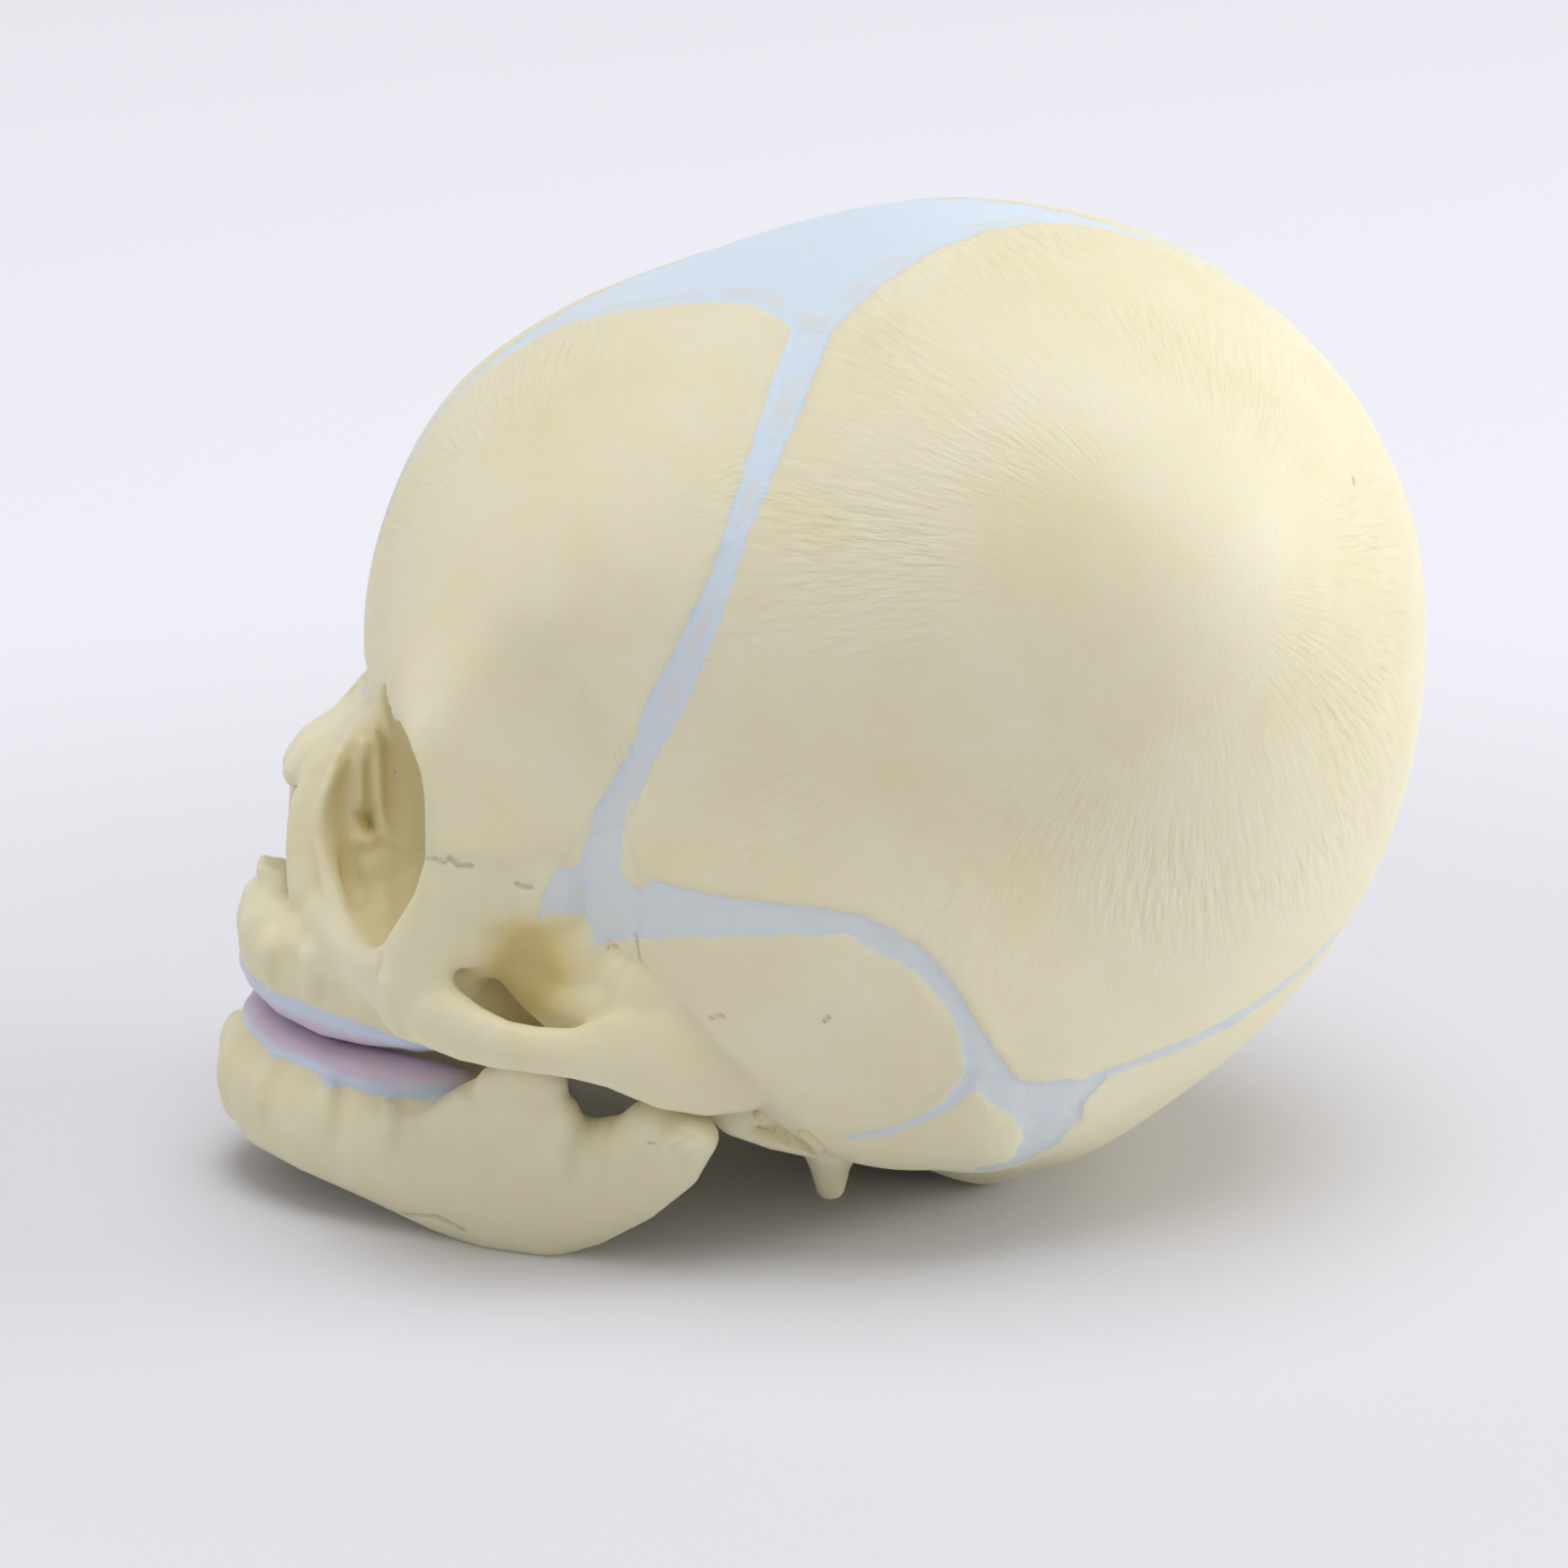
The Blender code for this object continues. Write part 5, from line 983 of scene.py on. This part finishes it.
# Lower jaw.
# One casting in the same PVC with the lower gum pad on it. Tooth germs swell its outer side. Its two heads
# are bored, and it turns on the steel pins.
JAW = (
    ((0.0, -58.0, 10.6, 3.9, 6.2), (6.5, -56.4, 10.4, 3.9, 6.1), (12.5, -51.6, 9.8, 4.0, 6.0),
     (17.5, -45.0, 8.9, 3.9, 6.5), (21.5, -38.5, 8.2, 3.7, 7.9), (25.2, -32.5, 8.0, 3.2, 9.0),
     (27.8, -27.4, 8.0, 2.8, 8.8), (29.8, -22.2, 8.4, 2.6, 6.9), (31.9, -17.2, 11.0, 2.5, 6.0),
     (33.4, -13.6, 13.2, 2.6, 4.4), (34.6, -12.8, 15.0, 3.1, 2.6)),
    ((0.0, -59.8, 9.0, 4.6, 2.0, 3.6),),
    # the pointed front branch, flat from side to side
    ((23.4, -37.0, 12.6, 2.6, 3.4), (25.6, -34.2, 14.8, 2.3, 3.6), (27.6, -30.8, 16.4, 2.0, 4.4),
     (29.2, -27.2, 15.4, 1.9, 4.6), (30.0, -25.4, 12.0, 2.0, 5.0)),
    ((27.2, -32.6, 18.2, 1.7, 2.2), (28.4, -30.0, 19.6, 1.6, 2.2), (29.7, -26.4, 19.0, 1.5, 2.4)),
    ((30.4, -25.2, 15.4, 1.7, 2.8),),
    # neck and head of the rear branch
    ((32.4, -18.9, 13.8, 2.1, 2.8), (33.2, -17.2, 15.6, 2.1, 2.8), (33.8, -15.8, 16.2, 2.3, 2.6),
     (34.8, -13.4, 15.4, 2.8, 2.7)),
    ((35.6, -13.4, 15.3, 2.9, 2.7, 2.7),),
    # lower gum pad
    ((0.0, -55.9, 17.5, 3.2, 2.4), (4.5, -55.1, 17.3, 3.2, 2.4), (8.8, -52.8, 16.6, 3.0, 2.4),
     (12.2, -48.8, 15.9, 3.0, 2.2), (15.2, -44.2, 15.9, 3.0, 2.2), (17.8, -39.8, 15.8, 2.7, 2.0),
     (20.0, -35.6, 15.6, 2.2, 1.7)),
    # tooth germs
    ((3.8, -59.5, 11.8, 2.3, 2.4, 4.6),),
    ((10.7, -55.9, 11.6, 2.3, 2.3, 4.6),),
    ((16.7, -49.6, 11.2, 2.3, 2.3, 4.4),),
    ((21.1, -43.0, 10.8, 2.2, 2.4, 4.2),),
)
JAW_CREASES = (
    (-0.25, 0.3, True, ((22.0, -42.1, 2.1), (22.5, -40.4, 2.9), (24.0, -38.2, 3.2), (25.0, -35.4, 2.3))),
    (-0.2, 0.3, True, ((36.5, -17.2, 14.3), (36.5, -16.3, 14.7))),
    (0.3, 0.6, False, ((38.4, -14.4, 16.0), (38.4, -14.1, 16.1))),
    (0.5, 1.2, False, ((22.9, -44.6, 12.0), (23.5, -42.1, 13.1), (25.1, -39.2, 14.5), (26.7, -35.9, 16.8))),
    (-0.28, 1.0, False, ((11.4, -57.4, 14.9), (12.6, -57.2, 12.8), (13.0, -56.6, 10.4))),
    (-0.28, 1.0, False, ((12.9, -54.5, 14.7), (14.6, -54.4, 13.0), (15.8, -53.9, 10.6))),
    (-0.28, 1.0, False, ((15.7, -51.3, 14.7), (18.0, -51.3, 13.0), (18.5, -51.1, 10.5))),
    (-0.28, 1.0, False, ((18.2, -48.0, 14.4), (19.4, -48.2, 12.4), (19.9, -48.3, 10.4))),
    (-0.3, 0.8, False, ((20.8, -44.3, 14.5), (22.9, -44.7, 13.1), (22.6, -45.0, 10.8))),
)
HINGE_Y = -13.4
HINGE_Z = 15.3
JAW_VOXEL = 0.42


def rod(bm, start, end, radius):
    """Add a round rod along X."""
    place = Matrix.Translation(Vector(((start + end) / 2 * MM, HINGE_Y * MM, HINGE_Z * MM)))
    bmesh.ops.create_cone(bm, cap_ends=True, segments=32, radius1=radius * MM, radius2=radius * MM,
                          depth=abs(end - start) * MM, matrix=place @ Matrix.Rotation(math.pi / 2, 4, "Y"))


# Inwards of each head is room for the lug on the skull, and beyond it the bore for the pin.
LUG_ROOM = (26.5, 30.5, 3.0)
PIN_BORE = (30.0, 38.15, 1.1)
bm = bmesh.new()
for side in (1, -1):
    for start, end, radius in (LUG_ROOM, PIN_BORE):
        rod(bm, side * start, side * end, radius)
bores = bpy.data.meshes.new("bores")
bm.to_mesh(bores)
bm.free()
jaw = fuse("jaw", ball_mesh("jaw", [ball for run in JAW for ball in swell_run(run)]), JAW_VOXEL, 3, bores)
points = read_points(jaw)
points[:, 2] = np.maximum(points[:, 2], 0.0)
write_points(jaw, points)
creases_and_shade = crease(points, read_normals(jaw), JAW_CREASES)
write_points(jaw, points)
x, y, z = to_left(points).T
bow = np.degrees(np.arctan2(x, BOW_MIDDLE - y))
gum_line = np.interp(bow, (7, 19, 33, 42, 50, 60, 68, 77),
                     (16.9, 16.8, 16.1, 15.5, 15.1, 14.8, 14.8, 15.4)) + 0.08 * ripple(points, 3.5, 23)
in_mouth = (y < -34.5) & (z > 12) & (x <= 24.5)
gum = np.where(in_mouth, np.clip(z - gum_line, -FAR, FAR), -FAR)


def bare(places, hollow=0.0):
    """Values of a piece of bare PVC."""
    empty = np.zeros(len(places))
    return {"paint": empty - FAR, "gum": empty - FAR, "crease_and_shade": empty + CRACK_REACH, "hollow": empty + hollow,
            "grain": places, "streaky": empty}


values = {**bare(points), "gum": gum, "crease_and_shade": creases_and_shade, "grain": points / 3.0}
quads = read_quads(jaw)
is_gum = gum[quads].mean(1) > 0
for node, mask in (("mandible", ~is_gum), ("lower_gum", is_gum)):
    place_piece(node, shell(node, points, read_normals(jaw), quads[mask], FACE_WALL, values), pvc, "jaw")

# Nasal septum and ear rings.
# The septum is a thin upright plate in the nose. Each ear ring is an open hoop on the bone under the ear.
# They are moulded with the skull in the same PVC.
SEPTUM = ((0.0, -49.4, 31.4, 0.8, 3.4), (0.0, -44.5, 34.2, 0.8, 6.4), (0.0, -39.5, 36.0, 0.8, 7.6))
SEPTUM_VOXEL = 0.35
EAR_MIDDLE = direction(288.5, 35.5)
EAR_RADIUS = 3.4
EAR_TUBE = 0.8
EAR_GAP = 50
EAR_VOXEL = 0.3
SMALL_WALL = 0.2


def place_small(node, mesh, hollow):
    """Show a small casting whole in the place of a CAD node."""
    places = read_points(mesh)
    made = shell(node, places, read_normals(mesh), read_quads(mesh), SMALL_WALL, bare(places, hollow))
    place_piece(node, made, pvc)


# The septum is painted yellower, as painted bounce light deep in the nose.
place_small("vomer", fuse("septum", ball_mesh("septum", swell_run(SEPTUM)), SEPTUM_VOXEL, 4), 1.0)

across = unit(np.cross(EAR_MIDDLE, (0, 0, 1)))
upwards = np.cross(across, EAR_MIDDLE)
bend = np.radians(np.linspace(EAR_GAP, 360 - EAR_GAP, 25))
spread = EAR_RADIUS / vault_radius(EAR_MIDDLE[None])[0]
hoop = unit(EAR_MIDDLE + spread * (np.sin(bend)[:, None] * across + np.cos(bend)[:, None] * upwards))
hoop = VAULT_CENTRE + hoop * (vault_radius(hoop) - CORE_INSET)[:, None]
# The ear rings are painted a little yellower, as painted bounce light.
for side, ending in ((1, "_left"), (-1, "_right")):
    balls = [[side * x, y, z, EAR_TUBE, EAR_TUBE, EAR_TUBE, 0.0] for x, y, z in dense_run(hoop, 3)]
    place_small("tympanic_ring" + ending, fuse("ear_ring", ball_mesh("ear_ring", balls), EAR_VOXEL, 3), 0.4)

# Steel jaw pins.
# The pins are drawn steel rods, pressed into the lugs and hidden in the heads of the jaw. They stay as the
# CAD has them. Their finish breaks up the shine in fine bands, coarser here so that they show.
steel, tree, shader = new_material("drawn_steel")
here = add_node(tree, "TexCoord").outputs["Object"]
lines = add_node(tree, "TexWave", {"bands_direction": "X"}, Vector=here, Scale=5000.0, Distortion=2.0)
shine = add_node(tree, "MapRange", SMOOTH, Value=lines.outputs["Fac"], From_Min=0.0, From_Max=1.0,
                 To_Min=0.22, To_Max=0.34)
connect(tree, shader, Base_Color=colour("#B9BABC"), Metallic=1.0, Roughness=shine)
for node in ("jaw_pin_left", "jaw_pin_right"):
    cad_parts[node].data.materials.clear()
    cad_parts[node].data.materials.append(steel)
